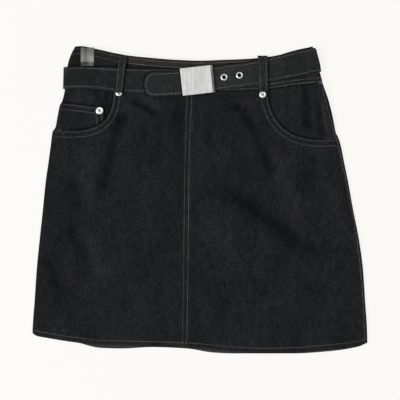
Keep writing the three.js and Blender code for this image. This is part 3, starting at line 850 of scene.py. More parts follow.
def sew(name, layer, side, rows, shaded, proud):
    """The thread of a piece: every stitch of its rows, joined into one mesh, dim beside the shaded lines."""
    if not rows:
        return []
    random = np.random.default_rng(sum(map(ord, name)))
    points, faces, fades, count = [], [], [], 0
    for row in rows:
        form, form_faces = stitch_form(row.kind)
        line = resampled(row.line, row.kind.pitch)
        middle = (line[:-1] + line[1:]) / 2
        run = line[1:] - line[:-1]
        run /= np.linalg.norm(run, axis=1, keepdims=True)
        middle = middle + random.normal(0, 0.08, middle.shape)
        centre, normal = place(layer, side, *middle.T)
        ahead, _ = place(layer, side, *(middle + run * 0.6).T)
        behind, _ = place(layer, side, *(middle - run * 0.6).T)
        if proud is not None:
            centre = centre + normal * proud(*middle.T)[:, None]
        along = ahead - behind
        along /= np.linalg.norm(along, axis=1, keepdims=True)
        across = np.cross(normal, along)
        lean = random.normal(0.06, 0.06, len(middle))[:, None]
        along, across = along + across * lean, across - along * lean
        size = random.uniform(0.9, 1.06, len(middle))[:, None, None]
        placed = (
            form[None, :, :1] * along[:, None] + form[None, :, 1:2] * across[:, None]
            + form[None, :, 2:] * normal[:, None]
        )
        points.append((centre[:, None] - 0.1 * normal[:, None] + placed * size).reshape(-1, 3))
        starts = count + len(form) * np.arange(len(middle))
        faces += [tuple(first + k for k in face) for first in starts.tolist() for face in form_faces]
        count += len(form) * len(middle)
        slow = np.sin(np.arange(len(middle)) * row.kind.pitch / 29 + random.uniform(0, 6))
        fade = np.clip(0.72 + 0.22 * slow + random.normal(0, 0.16, len(middle)), 0.25, 1.1)
        lit = smooth(distance(middle, shaded) / SHADE_REACH) if shaded else 1.0
        fades.append(np.repeat(fade * row.bright * lit, len(form)))
    made = new_object(f"{name}_thread", np.concatenate(points), faces, THREAD)
    write_attribute(made, "fade", "FLOAT", np.concatenate(fades))
    return [made]


class Shader:
    """Builds one procedural material, node by node."""

    def __init__(self, name):
        self.material = bpy.data.materials.new(name)
        self.material.use_nodes = True
        self.tree = self.material.node_tree
        self.tree.nodes.clear()
        self.surface = self.add("ShaderNodeBsdfPrincipled")
        self.add("ShaderNodeOutputMaterial", {"Surface": self.surface.outputs[0]})

    def add(self, kind, inputs=None, **settings):
        made = self.tree.nodes.new(kind)
        for key, value in settings.items():
            setattr(made, key, value)
        for key, value in (inputs or {}).items():
            if isinstance(value, bpy.types.NodeSocket):
                self.tree.links.new(value, made.inputs[key])
            else:
                made.inputs[key].default_value = value
        return made

    def attribute(self, name, output="Fac"):
        return self.add("ShaderNodeAttribute", attribute_name=name).outputs[output]

    def math(self, operation, a, b=0.0, clamp=False):
        return self.add("ShaderNodeMath", {0: a, 1: b}, operation=operation, use_clamp=clamp).outputs[0]

    def scaled(self, vector, scale, rotation=(0, 0, 0)):
        inputs = {"Vector": vector, "Scale": scale, "Rotation": rotation}
        return self.add("ShaderNodeMapping", inputs).outputs[0]

    def noise(self, vector, scale, detail=2.0, roughness=0.5):
        inputs = {"Vector": vector, "Scale": scale, "Detail": detail, "Roughness": roughness}
        return self.add("ShaderNodeTexNoise", inputs).outputs["Fac"]

    def bands(self, vector, scale, distortion=0.0):
        inputs = {"Vector": vector, "Scale": scale, "Distortion": distortion}
        inputs.update({"Detail": 1.0, "Detail Scale": 2.0})
        return self.add("ShaderNodeTexWave", inputs, wave_type="BANDS", bands_direction="X").outputs["Fac"]

    def ranged(self, value, low, high, to_low=0.0, to_high=1.0):
        inputs = {0: value, 1: low, 2: high, 3: to_low, 4: to_high}
        return self.add("ShaderNodeMapRange", inputs, clamp=True).outputs[0]

    def blend(self, factor, a, b, kind="MIX"):
        made = self.add("ShaderNodeMix", {"Factor": factor}, data_type="RGBA", blend_type=kind)
        for key, value in ((6, a), (7, b)):
            if isinstance(value, bpy.types.NodeSocket):
                self.tree.links.new(value, made.inputs[key])
            else:
                made.inputs[key].default_value = (*value, 1)
        return made.outputs[2]

    def bump(self, height, distance, strength=1.0):
        inputs = {"Height": height, "Distance": distance, "Strength": strength}
        return self.add("ShaderNodeBump", inputs).outputs[0]

    def set(self, **inputs):
        for key, value in inputs.items():
            socket = self.surface.inputs[key.replace("_", " ")]
            if isinstance(value, bpy.types.NodeSocket):
                self.tree.links.new(value, socket)
            else:
                socket.default_value = value
        return self.material


def denim(name, dark, light, tint, worn, wrong_side):
    """Twill with slubs and flecks, lighter where it is worn, painted lighter where raised, with painted shade
    in hollows and beside overlaps.
    """
    s = Shader(name)
    at = s.attribute("cloth", "Vector")
    hue = s.noise(at, 0.022, 3, 0.7)
    twill = s.bands(s.scaled(at, (1, 1, 1), (0, 0, math.radians(-27))), 0.34, 0.5)
    yarns = s.bands(at, 0.42, 0.8)
    slubs = s.noise(s.scaled(at, (0.8, 0.07, 1)), 1.0, 3, 0.6)
    weft = s.noise(s.scaled(at, (0.14, 0.8, 1)), 1.0, 2, 0.6)
    flecks = s.noise(at, 0.55, 3, 0.72)
    mottle = s.noise(s.scaled(at, (1, 0.6, 1)), 0.13, 2, 0.6)
    clouds = s.noise(s.scaled(at, (1, 0.4, 1)), 0.03, 2)
    sparks = s.noise(at, 0.8, 1, 0.5)
    tone = s.math("MULTIPLY", s.ranged(flecks, 0.41, 0.7), 0.72)
    tone = s.math("ADD", tone, s.math("MULTIPLY", s.ranged(sparks, 0.6, 0.76), 1.05))
    tone = s.math("ADD", tone, s.math("MULTIPLY", s.ranged(slubs, 0.4, 0.68), 0.18))
    tone = s.math("ADD", tone, s.math("MULTIPLY", s.ranged(weft, 0.44, 0.7), 0.12))
    tone = s.math("ADD", tone, s.math("MULTIPLY", twill, 0.05))
    tone = s.math("MULTIPLY", tone, s.ranged(mottle, 0.32, 0.68, 0.76, 1.24))
    tone = s.math("MULTIPLY", tone, s.ranged(clouds, 0.32, 0.68, 0.8, 1.2))
    # Painted shade in hollows and painted highlight on ridges, from the relief attribute
    tone = s.math("MULTIPLY", tone, s.ranged(s.attribute("relief"), -1.5, 1.5, 0.4, 1.6))
    colour = s.blend(tone, dark, s.blend(s.ranged(hue, 0.38, 0.62), light, tint))
    rub = s.noise(at, 0.3, 3)
    rim = s.math("MULTIPLY", s.ranged(s.attribute("edge"), 0.0, 1.4, 1.0, 0.0), s.ranged(rub, 0.42, 0.62))
    beside = s.ranged(s.attribute("seam"), 0.6, 4.0, 1.0, 0.0)
    pucker = s.noise(at, 0.2, 1)
    ridge = s.math("MULTIPLY", beside, s.ranged(pucker, 0.42, 0.68))
    rubbed = s.math("MULTIPLY", s.attribute("wear"), s.ranged(rub, 0.3, 0.65))
    wear = s.math("MAXIMUM", s.math("MULTIPLY", rim, 0.45), s.math("MULTIPLY", ridge, 0.12))
    wear = s.math("MAXIMUM", wear, s.math("MULTIPLY", rubbed, 0.5))
    colour = s.blend(wear, colour, worn)
    colour = s.blend(s.attribute("inner"), colour, wrong_side)
    # Painted shade beside the shaded lines, nearly black next to them
    painted_shade = s.ranged(s.attribute("shade"), 0.3, SHADE_REACH, 0.9, 0.0)
    colour = s.blend(painted_shade, colour, (0.001, 0.001, 0.001))
    height = s.math("ADD", s.math("MULTIPLY", twill, 0.5), s.math("MULTIPLY", yarns, 0.3))
    height = s.math("ADD", height, s.math("MULTIPLY", slubs, 0.5))
    fine = s.bump(height, 0.12 * MM, 0.8)
    crumple = s.math("ADD", s.math("MULTIPLY", pucker, beside), s.math("MULTIPLY", mottle, 0.6))
    uneven = {"Height": crumple, "Distance": 0.9 * MM, "Strength": 0.9, "Normal": fine}
    rough = s.add("ShaderNodeBump", uneven)
    return s.set(Base_Color=colour, Roughness=0.95, Specular_IOR_Level=0.03, Normal=rough.outputs[0])


def thread(name, colour, shade):
    """Sewing thread: two plies twisted together, duller where it has sunk into the cloth, with painted shade
    beside the shaded lines.
    """
    s = Shader(name)
    at = s.add("ShaderNodeTexCoord").outputs["Object"]
    plies = s.bands(s.scaled(at, (1, 1, 1), (0, 0, math.radians(40))), 700, 1.0)
    tone = s.math("MULTIPLY", s.attribute("fade"), s.ranged(plies, 0, 1, 0.7, 1))
    return s.set(
        Base_Color=s.blend(tone, shade, colour), Roughness=0.65, Specular_IOR_Level=0.2,
        Normal=s.bump(plies, 0.08 * MM),
    )


def brushed(name, colour, dull, direction, scale=900):
    """Metal brushed in one direction, with faint smudges, and painted shade where its vertices say it is
    dished.
    """
    s = Shader(name)
    at = s.add("ShaderNodeTexCoord").outputs["Object"]
    stretched = s.scaled(at, direction)
    grain = s.noise(stretched, scale, 2, 0.6)
    smudge = s.noise(at, 90, 3)
    tone = s.math("ADD", s.math("MULTIPLY", grain, 0.6), s.math("MULTIPLY", smudge, 0.4))
    bright = s.blend(s.ranged(tone, 0.35, 0.65), dull, colour)
    # Painted shade in the dished middle of rivets and eyelets
    painted_dish_shade = s.math("MULTIPLY", s.attribute("dished"), 0.7)
    return s.set(
        Base_Color=s.blend(painted_dish_shade, bright, (0.12, 0.12, 0.12)), Metallic=1.0,
        Roughness=s.ranged(tone, 0.3, 0.7, 0.26, 0.4), Normal=s.bump(grain, 0.02 * MM, 0.6),
    )


def satin(name, colour, shade):
    """A woven satin tab: fine ribs across it, with a soft shine."""
    s = Shader(name)
    at = s.attribute("cloth", "Vector")
    ribs = s.bands(s.scaled(at, (1, 1, 1), (0, 0, math.radians(90))), 1.1, 0.4)
    mottle = s.noise(at, 0.5, 3, 0.6)
    tone = s.math("MULTIPLY", s.ranged(mottle, 0.3, 0.7, 0, 0.4), s.ranged(ribs, 0, 1, 0.75, 1))
    # The relief attribute brings the tab's painted light and shade
    tone = s.math("ADD", tone, s.attribute("relief"))
    return s.set(
        Base_Color=s.blend(s.ranged(tone, -0.85, 1.15), shade, colour), Roughness=0.45,
        Specular_IOR_Level=0.3,
        Normal=s.bump(ribs, 0.06 * MM, 0.6),
    )


DENIM = denim(
    "denim", (0.0014, 0.0016, 0.0018), (0.0284, 0.033, 0.034), (0.0326, 0.032, 0.0385),
    (0.066, 0.063, 0.055), (0.04, 0.042, 0.047),
)
BAND_CLOTH = denim(
    "band_denim", (0.0018, 0.002, 0.0019), (0.034, 0.038, 0.0365), (0.037, 0.037, 0.037),
    (0.08, 0.072, 0.062), (0.045, 0.047, 0.05),
)
BELT_CLOTH = denim(
    "belt_denim", (0.0022, 0.0028, 0.0028), (0.041, 0.047, 0.046), (0.043, 0.045, 0.05),
    (0.075, 0.081, 0.077), (0.045, 0.049, 0.05),
)
LOOP_CLOTH = denim(
    "loop_denim", (0.002, 0.0028, 0.0025), (0.043, 0.052, 0.047), (0.05, 0.055, 0.056), (0.08, 0.086, 0.08),
    (0.045, 0.049, 0.05),
)
THREAD = thread("thread", (0.27, 0.275, 0.25), (0.04, 0.041, 0.039))
STEEL = brushed("brushed_steel", (0.72, 0.72, 0.71), (0.5, 0.5, 0.49), (1, 0.03, 1))
RIVET_METAL = brushed("rivet_metal", (0.95, 0.95, 0.93), (0.8, 0.8, 0.78), (1, 1, 1), 400)
SATIN = satin("satin", (0.3, 0.3, 0.29), (0.02, 0.02, 0.02))


def mouth_height(scoop):
    """The height of a pocket mouth's edge at any x beyond its steep stretch."""
    angles = np.linspace(-0.9, math.pi / 2, 400)
    x, y = scoop_points(scoop, angles).T
    order = np.argsort(x)
    return lambda at: np.interp(at, x[order], y[order])


def scoop_points(scoop, angles):
    sideways = np.sign(np.sin(angles)) * np.abs(np.sin(angles)) ** (2 / scoop.power)
    down = np.clip(np.cos(angles), 0, None) ** (2 / scoop.power)
    return np.stack([scoop.x + scoop.reach * sideways, scoop.top - scoop.depth * down], 1)


def mouth_edge(scoop):
    """A pocket mouth's edge, from the waist down to its lowest point."""
    line = scoop_points(scoop, np.linspace(math.pi / 2, 0, 300))
    head = float(tucked_top(line[0, 0]))
    if line[0, 1] < head - 1:
        above = np.stack([np.full(6, line[0, 0]), np.linspace(head - 0.4, line[0, 1] + 0.4, 6)], 1)
        line = np.concatenate([above, line])
    line = line[line[:, 1] < tucked_top(line[:, 0])]
    return resampled(line, SPACING)


def tucked_top(x):
    """The top edge of cloth that runs up under the waistband."""
    return waist_seam(x) + TUCK


def tuck(layer, side):
    """How far the cloth sinks as it runs up under the waistband, at each place of the flat cloth."""

    def sunk(u, v):
        x, turn = wrap(layer, side, u, v)
        depth = np.where(turn > 0, 1.0, TUCK_DEPTH)
        return -depth * smooth((v - waist_seam(x) + 1.3) / 1.5)

    return sunk


def seam_creases(layer, side, start, end):
    """Lines along the waistband's seam, where the cloth bends under it."""
    return [run_across(layer, side, start, end, lambda x: waist_seam(x) - 0.6)]


def hem_thickness(hem):
    """Cloth that is thicker along its turned-up hem."""
    return lambda u, v: mix(HEM, CLOTH, smooth((v - hem(u) - HEM_DEPTH) / 1.5))


def hem_ripple(u, up):
    """The slanting ripples that a hem's stitches pull into it, from -1 to 1, up from its edge."""
    return np.sin(2 * math.pi * (u + 0.8 * up) / HEM_RIPPLE + 0.8 * np.sin(u / 31))


def hem_proud(hem):
    """How far the turned-up hem stands out, with the slanting ripples that its stitches pull into it."""

    def proud(u, v):
        up = v - hem(u)
        inside_hem = 1 - smooth((up - HEM_ROW) / 2.5)
        return inside_hem * (0.18 + 0.12 * hem_ripple(u, up))

    return proud


def hem_wear(hem):
    """Wear along a hem: where its ripples stand up, and most of all at its edge."""

    def worn(u, v):
        up = v - hem(u)
        ripple = 0.5 + 0.5 * hem_ripple(u, up)
        middle = smooth((u + 8) / 10) * smooth((72 - u) / 14)
        rolled = middle + smooth((u + 182) / 16) * smooth((-84 - u) / 16)
        return (0.16 + 0.18 * ripple) * (1 - smooth((up - 6.5) / 2)) + 1.2 * rolled * (1 - smooth(up / 1.8))

    return worn


def hem_row(layer, side, start, end, hem):
    return run_across(layer, side, start, end, lambda x: hem(x) + HEM_ROW)


def turned_edge(line, u, v):
    """How far the doubled cloth along a pocket mouth stands out."""
    return 0.25 * (1 - smooth((distance(np.stack([u, v], -1), [line]) - 10.5) / 3))


def front_left():
    layer, side = SKIRT, -1
    foot = meet(centre_front, front_hem, -214)
    head = meet(centre_front, tucked_top, 158)
    seam_foot = meet(seam_left, front_hem, -196)
    mouth = mouth_edge(SCOOP_LEFT)
    height = mouth_height(SCOOP_LEFT)
    seam_head = meet(seam_left, height, 102)
    outer_end = float(unroll(layer, side, seam_left(seam_head), seam_head))
    seam_up = run_up(seam_head, seam_foot, lambda v: unroll(layer, side, seam_left(v), v))
    round_side = run_across(layer, side, mouth[-1, 0], outer_end, height)
    outline = joined(
        run_up(foot, head, centre_front),
        run_across(layer, side, centre_front(head), mouth[0, 0], tucked_top),
        mouth,
        round_side,
        seam_up,
        run_across(layer, side, seam_up[-1, 0], centre_front(foot), front_hem),
    )
    whole_mouth = np.concatenate([mouth, round_side[1:]])
    seam_rows = [run_up(foot + 1, head - 3.5, lambda v, d=d: centre_front(v) - d) for d in SEAM_ROWS]
    rows = sewn(seam_rows[0], hem_row(layer, side, -18.5, seam_up[-1, 0], front_hem))
    rows += sewn(seam_rows[1], bright=0.55) + sewn(*[offset(whole_mouth, d) for d in MOUTH_ROWS], bright=0.75)
    ripple, sunk = hem_proud(front_hem), tuck(layer, side)

    def proud(u, v):
        across = centre_front(v) - u
        felled = FELLED_PROUD * (1 - smooth((across - FELLED_WIDTH) / 1.6))
        return felled + turned_edge(whole_mouth, u, v) + ripple(u, v) + sunk(u, v)

    cloth("front_left", layer, side, outline, DENIM, rows, thick=hem_thickness(front_hem), proud=proud,
          worn=hem_wear(front_hem),
          creases=seam_creases(layer, side, centre_front(head) - 1, mouth[0, 0] + 1))


def front_right():
    layer, side = SKIRT, 1
    inner_edge = lambda v: centre_front(v) + GAP
    outer_edge = lambda v: seam_right(v) - GAP
    foot = meet(inner_edge, front_hem, -214)
    head = meet(inner_edge, tucked_top, 158)
    mouth = mouth_edge(SCOOP_RIGHT)
    height = mouth_height(SCOOP_RIGHT)
    seam_head = meet(outer_edge, height, 90)
    seam_foot = meet(outer_edge, front_hem, -208)
    round_side = run_across(layer, side, mouth[-1, 0], outer_edge(seam_head), height)
    outline = joined(
        run_up(foot, head, inner_edge),
        run_across(layer, side, inner_edge(head), mouth[0, 0], tucked_top),
        mouth,
        round_side,
        run_up(seam_head, seam_foot, outer_edge),
        run_across(layer, side, outer_edge(seam_foot), inner_edge(foot), front_hem),
    )
    whole_mouth = np.concatenate([mouth, round_side[1:]])
    rows = sewn(hem_row(layer, side, inner_edge(foot) + 0.4, outer_edge(seam_foot), front_hem))
    rows += sewn(*[offset(whole_mouth, -d) for d in MOUTH_ROWS], bright=0.75)
    ripple, sunk = hem_proud(front_hem), tuck(layer, side)

    def proud(u, v):
        return turned_edge(whole_mouth, u, v) + ripple(u, v) + sunk(u, v)

    cloth("front_right", layer, side, outline, DENIM, rows, thick=hem_thickness(front_hem), proud=proud,
          worn=hem_wear(front_hem),
          creases=seam_creases(layer, side, inner_edge(head) + 1, mouth[0, 0] - 1))


def hem_across_back(layer, side):
    """The back hem's height at each place of the flat cloth."""
    return lambda u, v: back_hem(wrap(layer, side, u, v)[0])


def back_panel(name, side, inner_x, outer_v, on_front):
    """A back panel, from the centre back seam to its side seam; the right one goes round on to the front."""
    layer = SKIRT
    foot = float(back_hem(inner_x))
    lap = lambda v: side * HEM_LAP * (1 - smooth((v - foot) / HEM_DEPTH))
    inner_edge = lambda v: unroll(layer, side, inner_x - lap(v), v)
    outer_edge = outer_v if on_front else lambda v: unroll(layer, side, outer_v(v), v)
    head = float(under_seam(inner_x))
    seam_head = meet(outer_v, under_seam, 166)
    seam_foot = meet(outer_v, back_hem, -205)
    outline = joined(
        run_up(foot, head, inner_edge),
        run_across(layer, side, inner_edge(head), float(outer_edge(seam_head)), under_seam),
        run_up(seam_head, seam_foot, outer_edge),
        run_across(layer, side, float(outer_edge(seam_foot)), inner_edge(foot), back_hem),
    )
    away = side * SIDE_ROW if on_front else -side * SIDE_ROW
    rows = sewn(
        run_up(seam_foot + 2, seam_head - 1, lambda v: outer_edge(v) + away),
        hem_row(layer, side, inner_edge(foot), float(outer_edge(seam_foot)), back_hem),
    )
    hem = hem_across_back(layer, side)
    thick = lambda u, v: mix(HEM, CLOTH, smooth((v - hem(u, v) - HEM_DEPTH) / 1.5))
    worn = lambda u, v: 0.6 * (1 - smooth((v - hem(u, v)) / 2.5))
    cloth(name, layer, side, outline, DENIM, rows, thick=thick, worn=worn)


def yoke_top(scoop):
    """The facing's top edge: under the waistband inside the pocket mouth, and just short of it elsewhere."""
    edge_x = scoop.x + scoop.reach
    inward = np.sign(scoop.reach)
    return lambda x: under_seam(x) + (TUCK + 2 * GAP) * smooth((edge_x - x) * inward / 2 - 0.5)


def yoke_left():
    layer, side = YOKE, -1
    height = lambda x: mouth_height(SCOOP_LEFT)(x) + GAP
    top = yoke_top(SCOOP_LEFT)
    seam_head = meet(seam_left, top, 176)
    seam_foot = meet(seam_left, height, 102)
    outer_edge = lambda v: unroll(layer, side, seam_left(v), v)
    seated = YOKE_LEFT.seated
    outline = joined(
        run_across(layer, side, YOKE_LEFT.inner, float(outer_edge(seam_head)), top),
        run_up(seam_head, seam_foot, outer_edge),
        run_across(layer, side, float(outer_edge(seam_foot)), seated, height),
        run_up(float(height(seated)), YOKE_LEFT.bottom, lambda v: seated),
        run_across(layer, side, seated, YOKE_LEFT.inner, lambda x: YOKE_LEFT.bottom + 0 * x),
        run_up(YOKE_LEFT.bottom, float(top(YOKE_LEFT.inner)), lambda v: YOKE_LEFT.inner),
    )
    end = float(outer_edge(seam_head))
    cloth("yoke_left", layer, side, outline, DENIM, proud=tuck(layer, side),
          creases=seam_creases(layer, side, -127, end + 1) + [mouth_edge(SCOOP_LEFT)],
          shaded=[mouth_edge(SCOOP_LEFT), run_across(layer, side, -126, end, waist_seam), coin_edge()])


def yoke_right():
    layer, side = YOKE, 1
    height = lambda x: mouth_height(SCOOP_RIGHT)(x) + GAP
    outer_edge = lambda v: seam_right(v) - GAP
    top = yoke_top(SCOOP_RIGHT)
    seam_head = meet(outer_edge, top, 166)
    seam_foot = meet(outer_edge, height, 90)
    seated = YOKE_RIGHT.seated
    outline = joined(
        run_across(layer, side, YOKE_RIGHT.inner, outer_edge(seam_head), top),
        run_up(seam_head, seam_foot, outer_edge),
        run_across(layer, side, outer_edge(seam_foot), seated, height),
        run_up(float(height(seated)), YOKE_RIGHT.bottom, lambda v: seated),
        run_across(layer, side, seated, YOKE_RIGHT.inner, lambda x: YOKE_RIGHT.bottom + 0 * x),
        run_up(YOKE_RIGHT.bottom, float(top(YOKE_RIGHT.inner)), lambda v: YOKE_RIGHT.inner),
    )
    end = outer_edge(seam_head)
    cloth("yoke_right", layer, side, outline, DENIM, proud=tuck(layer, side),
          creases=seam_creases(layer, side, 100, end - 1) + [mouth_edge(SCOOP_RIGHT)],
          shaded=[mouth_edge(SCOOP_RIGHT)])


def coin_top(x):
    """The coin pocket's top edge, which slopes down to the right."""
    far = left_side(COIN.left_top)
    return mix(COIN.left_top, COIN.right_top, (x - far) / (COIN.right - far))


def coin_edge():
    """The coin pocket's top and right edges, as one line."""
    across = run_across(COIN_LAYER, -1, -209, COIN.right, coin_top)
    down = run_up(COIN.right_top - 1, 117, lambda v: COIN.right)
    return np.concatenate([across, down])


def coin_pocket():
    layer, side = COIN_LAYER, -1
    top = coin_top
    height = lambda x: mouth_height(SCOOP_LEFT)(x) + GAP
    end_x = lambda v: left_side(v) + SKIRT_FOLD / 2
    end_top = meet(end_x, top, COIN.left_top)
    end_foot = meet(end_x, height, 104)
    outline = joined(
        run_across(layer, side, COIN.right, float(end_x(end_top)), top),
        run_up(end_top, end_foot, end_x),
        run_across(layer, side, float(end_x(end_foot)), COIN.right, height),
        run_up(float(height(COIN.right)), COIN.right_top, lambda v: COIN.right),
    )
    start = COIN.right - 1.5
    side_foot = [float(height(COIN.right - d)) for d in COIN_SIDE_ROWS]
    rows = sewn(
        *[run_across(layer, side, start, float(end_x(120)) + 3, lambda x, d=d: top(x) - d)
          for d in COIN_ROWS],
        *[run_up(foot + 1, COIN.right_top - 8.5, lambda v, d=d: COIN.right - d)
          for foot, d in zip(side_foot, COIN_SIDE_ROWS)],
    )
    cloth("coin_pocket", layer, side, outline, DENIM, rows, shaded=[mouth_edge(SCOOP_LEFT)])


def band_rows(layer, side, start, end, top):
    upper = [run_across(layer, side, start, end, lambda x, d=d: top(x) - d) for d in BAND_TOP_ROWS]
    lower = [run_across(layer, side, start, end, lambda x, d=d: waist_seam(x) + d) for d in BAND_BOTTOM_ROWS]
    rows = sewn(*lower)
    # Past the left loop the upper rows are dimmer, with painted shade, as the band is there
    for line, kind, faint in ((upper[0], FINE, 0.8), (upper[1], CHUNKY, 0.35)):
        past_loop = line[:, 0] < FRONT_LOOPS["loop_front_left"].x1
        for part, bright in ((line[~past_loop], 1.3), (line[past_loop], faint)):
            rows += sewn(part, kind=kind, bright=bright) if len(part) > 1 else []
    return rows


def beside_belt(layer, side, start, end):
    """The belt's top edge, and the front loops' edges, as lines on the waistband that get painted shade
    beside them.
    """
    top = run_across(layer, side, start, end, belt_edges(belt_under)[0])
    return [top, *[loop_edge(loop) for loop in FRONT_LOOPS.values()]]


def band_wear(layer, side, top):
    """Wear along the waistband's top, between its two upper rows of stitches, all but at the left."""

    def worn(u, v):
        x, turn = wrap(layer, side, u, v)
        strip = 1 - smooth((top(x) - v - BAND_TOP_ROWS[1]) / 2)
        return strip * np.where(turn > 0, 0.4, 0.6 * smooth((x + 118) / 10))

    return worn


def loop_edge(loop):
    """A front loop's right edge."""
    return np.array([(loop.x1 + loop.wide / 2, loop.y1), (loop.x2 + loop.narrow / 2, loop.y2)])


def waistband_front():
    layer, side = WAISTBAND, -1
    near = lambda v: seam_right(v) - GAP
    far = lambda v: unroll(layer, side, seam_left(v), v)
    near_head, near_foot = meet(near, waist_top, 210), meet(near, waist_seam, 168)
    far_head, far_foot = meet(seam_left, waist_top, 222), meet(seam_left, waist_seam, 177)
    outline = joined(
        run_up(near_foot, near_head, near),
        run_across(layer, side, near(near_head), float(far(far_head)), waist_top),
        run_up(far_head, far_foot, far),
        run_across(layer, side, float(far(far_foot)), near(near_foot), waist_seam),
    )
    rows = band_rows(layer, side, float(near(190)) - 1, float(far(200)) + 1, waist_top)
    cloth("waistband_front", layer, side, outline, BAND_CLOTH, rows, thickness=BAND,
          worn=band_wear(layer, side, waist_top),
          shaded=beside_belt(layer, side, 160, -196))


def waistband_back():
    layer, side = WAISTBAND, 1
    top = lambda x: waist_top(x) - 1 + BACK_RISE.height * smooth((x - BACK_RISE.start) / BACK_RISE.run)
    near = seam_right
    start_x = lambda v: seam_left(v) + GAP
    far = lambda v: unroll(layer, side, start_x(v), v)
    near_head, near_foot = meet(near, top, 209), meet(near, waist_seam, 168)
    far_head, far_foot = meet(start_x, top, 221), meet(start_x, waist_seam, 177)
    outline = joined(
        run_up(near_foot, near_head, near),
        run_across(layer, side, near(near_head), float(far(far_head)), top),
        run_up(far_head, far_foot, far),
        run_across(layer, side, float(far(far_foot)), near(near_foot), waist_seam),
    )
    rows = band_rows(layer, side, float(near(190)) + 1, float(far(200)) - 1, top)
    # The strip of the back band that shows above the front at the right gets painted shadow
    shown_end = float(unroll(layer, side, 96, 207))
    shown = run_across(layer, side, float(near(near_head)), shown_end, lambda x: top(x) - 1)
    cloth("waistband_back", layer, side, outline, BAND_CLOTH, rows, thickness=BAND,
          worn=band_wear(layer, side, top),
          shaded=[shown])


def belt_edges(middle):
    """A belt run's two edges and its two rows of stitches, as heights at an x: top, bottom, upper, lower."""
    half = lambda x: belt_width(x) / 2
    return (
        lambda x: middle(x) + half(x),
        lambda x: middle(x) - half(x),
        lambda x: middle(x) + half(x) - BELT_ROW,
        lambda x: middle(x) - half(x) + mix(BELT_ROW, 0.6 * BELT_ROW, smooth((x - 100) / 50)),
    )


def belt_left():
    layer, side = BELT_RING, -1
    top, bottom, upper, lower = belt_edges(belt_under)
    far = lambda v: unroll(layer, side, layer.left(v) + BELT_SPLIT, v)
    outline = joined(
        run_up(float(bottom(UNDER_END_X)), float(top(UNDER_END_X)), lambda v: UNDER_END_X),
        run_across(layer, side, UNDER_END_X, float(far(192)), top),
        run_up(float(top(-186)), float(bottom(-186)), far),
        run_across(layer, side, float(far(161)), UNDER_END_X, bottom),
    )
    far_end = float(far(176)) + 1
    rows = sewn(*[run_across(layer, side, UNDER_END_X - 1, far_end, edge) for edge in (upper, lower)])
    strap_top = run_across(layer, side, TIP.x + TIP.depth, -26, belt_edges(belt_over)[0])
    cloth("belt_left", layer, side, outline, BELT_CLOTH, rows, thickness=STRAP,
          shaded=[tip_line(0), strap_top, loop_edge(FRONT_LOOPS["loop_front_left"])])


def tip_line(inset):
    """The free end's rounded outline, from its top edge round to its bottom edge, moved in by an inset."""
    angles = np.linspace(math.pi / 2, -math.pi / 2, 25)
    x = TIP.x + TIP.depth - (TIP.depth - inset) * np.cos(angles)
    half = belt_width(x) / 2 - inset
    return np.stack([x, belt_over(x) + half * np.sin(angles)], 1)


def plate_outline():
    """The buckle plate's outline, as a line on the strap."""
    p, turn = PLATE, math.radians(PLATE.turn)
    left, right = -p.width / 2, p.width / 2 + p.lip
    corners = [(left, -p.height / 2), (right, -p.height / 2), (right, p.height / 2), (left, p.height / 2)]
    corners.append(corners[0])
    return np.array([
        (p.x + x * math.cos(turn) - y * math.sin(turn), p.y + x * math.sin(turn) + y * math.cos(turn))
        for x, y in corners
    ])


def ring(x, y, radius, count=20):
    angles = np.linspace(0, 2 * math.pi, count, endpoint=False)
    return np.stack([x + radius * np.cos(angles), y + radius * np.sin(angles)], 1)


def belt_right():
    layer, side = BELT_OVER, 1
    top, bottom, upper, lower = belt_edges(belt_over)
    far = lambda v: unroll(layer, side, layer.right(v) - BELT_SPLIT, v)
    start = TIP.x + TIP.depth
    tip = resampled(tip_line(0), 1.6)
    outline = joined(
        tip,
        run_across(layer, side, start, float(far(188)), bottom),
        run_up(float(bottom(158)), float(top(158)), far),
        run_across(layer, side, float(far(220)), start, top),
    )
    end = float(far(204)) - 1
    around = np.concatenate([
        run_across(layer, side, -16, start, upper),
        tip_line(BELT_ROW)[1:-1],
        run_across(layer, side, start, -16, lower),
    ])
    rows = sewn(around, kind=CHUNKY)
    rows += sewn(run_across(layer, side, 16, end, upper), run_across(layer, side, 16, end, lower))
    holes = [ring(x, float(belt_over(x)), EYELET.cut) for x in EYELETS]
    cloth("belt_right", layer, side, outline, BELT_CLOTH, rows, holes=holes, thickness=STRAP,
          worn=lambda u, v: mix(0.4, 0.2, smooth((u - 60) / 60)),
          shaded=[plate_outline(), loop_edge(FRONT_LOOPS["loop_front_right"])])


def belt_back():
    layer, side = BELT_RING, 1
    top, bottom, upper, lower = belt_edges(belt_under)
    near_x = lambda v: layer.right(v) - BELT_SPLIT - GAP
    far_x = lambda v: layer.left(v) + BELT_SPLIT + GAP
    near = lambda v: unroll(layer, side, near_x(v), v)
    far = lambda v: unroll(layer, side, far_x(v), v)
    near_head, near_foot = meet(near_x, top, 218), meet(near_x, bottom, 186)
    far_head, far_foot = meet(far_x, top, 193), meet(far_x, bottom, 161)
    outline = joined(
        run_up(near_foot, near_head, near),
        run_across(layer, side, float(near(near_head)), float(far(far_head)), top),
        run_up(far_head, far_foot, far),
        run_across(layer, side, float(far(far_foot)), float(near(near_foot)), bottom),
    )
    ends = (float(near(200)) + 1, float(far(176)) - 1)
    rows = sewn(*[run_across(layer, side, *ends, edge) for edge in (upper, lower)])
    cloth("belt_back", layer, side, outline, BELT_CLOTH, rows, thickness=STRAP)


def belt_span(x):
    """How far up and down the belt reaches under a loop."""
    across = np.array([x - 6, x + 6])
    top, bottom = belt_edges(belt_under)[:2]
    return float(top(across).max()), float(bottom(across).min())


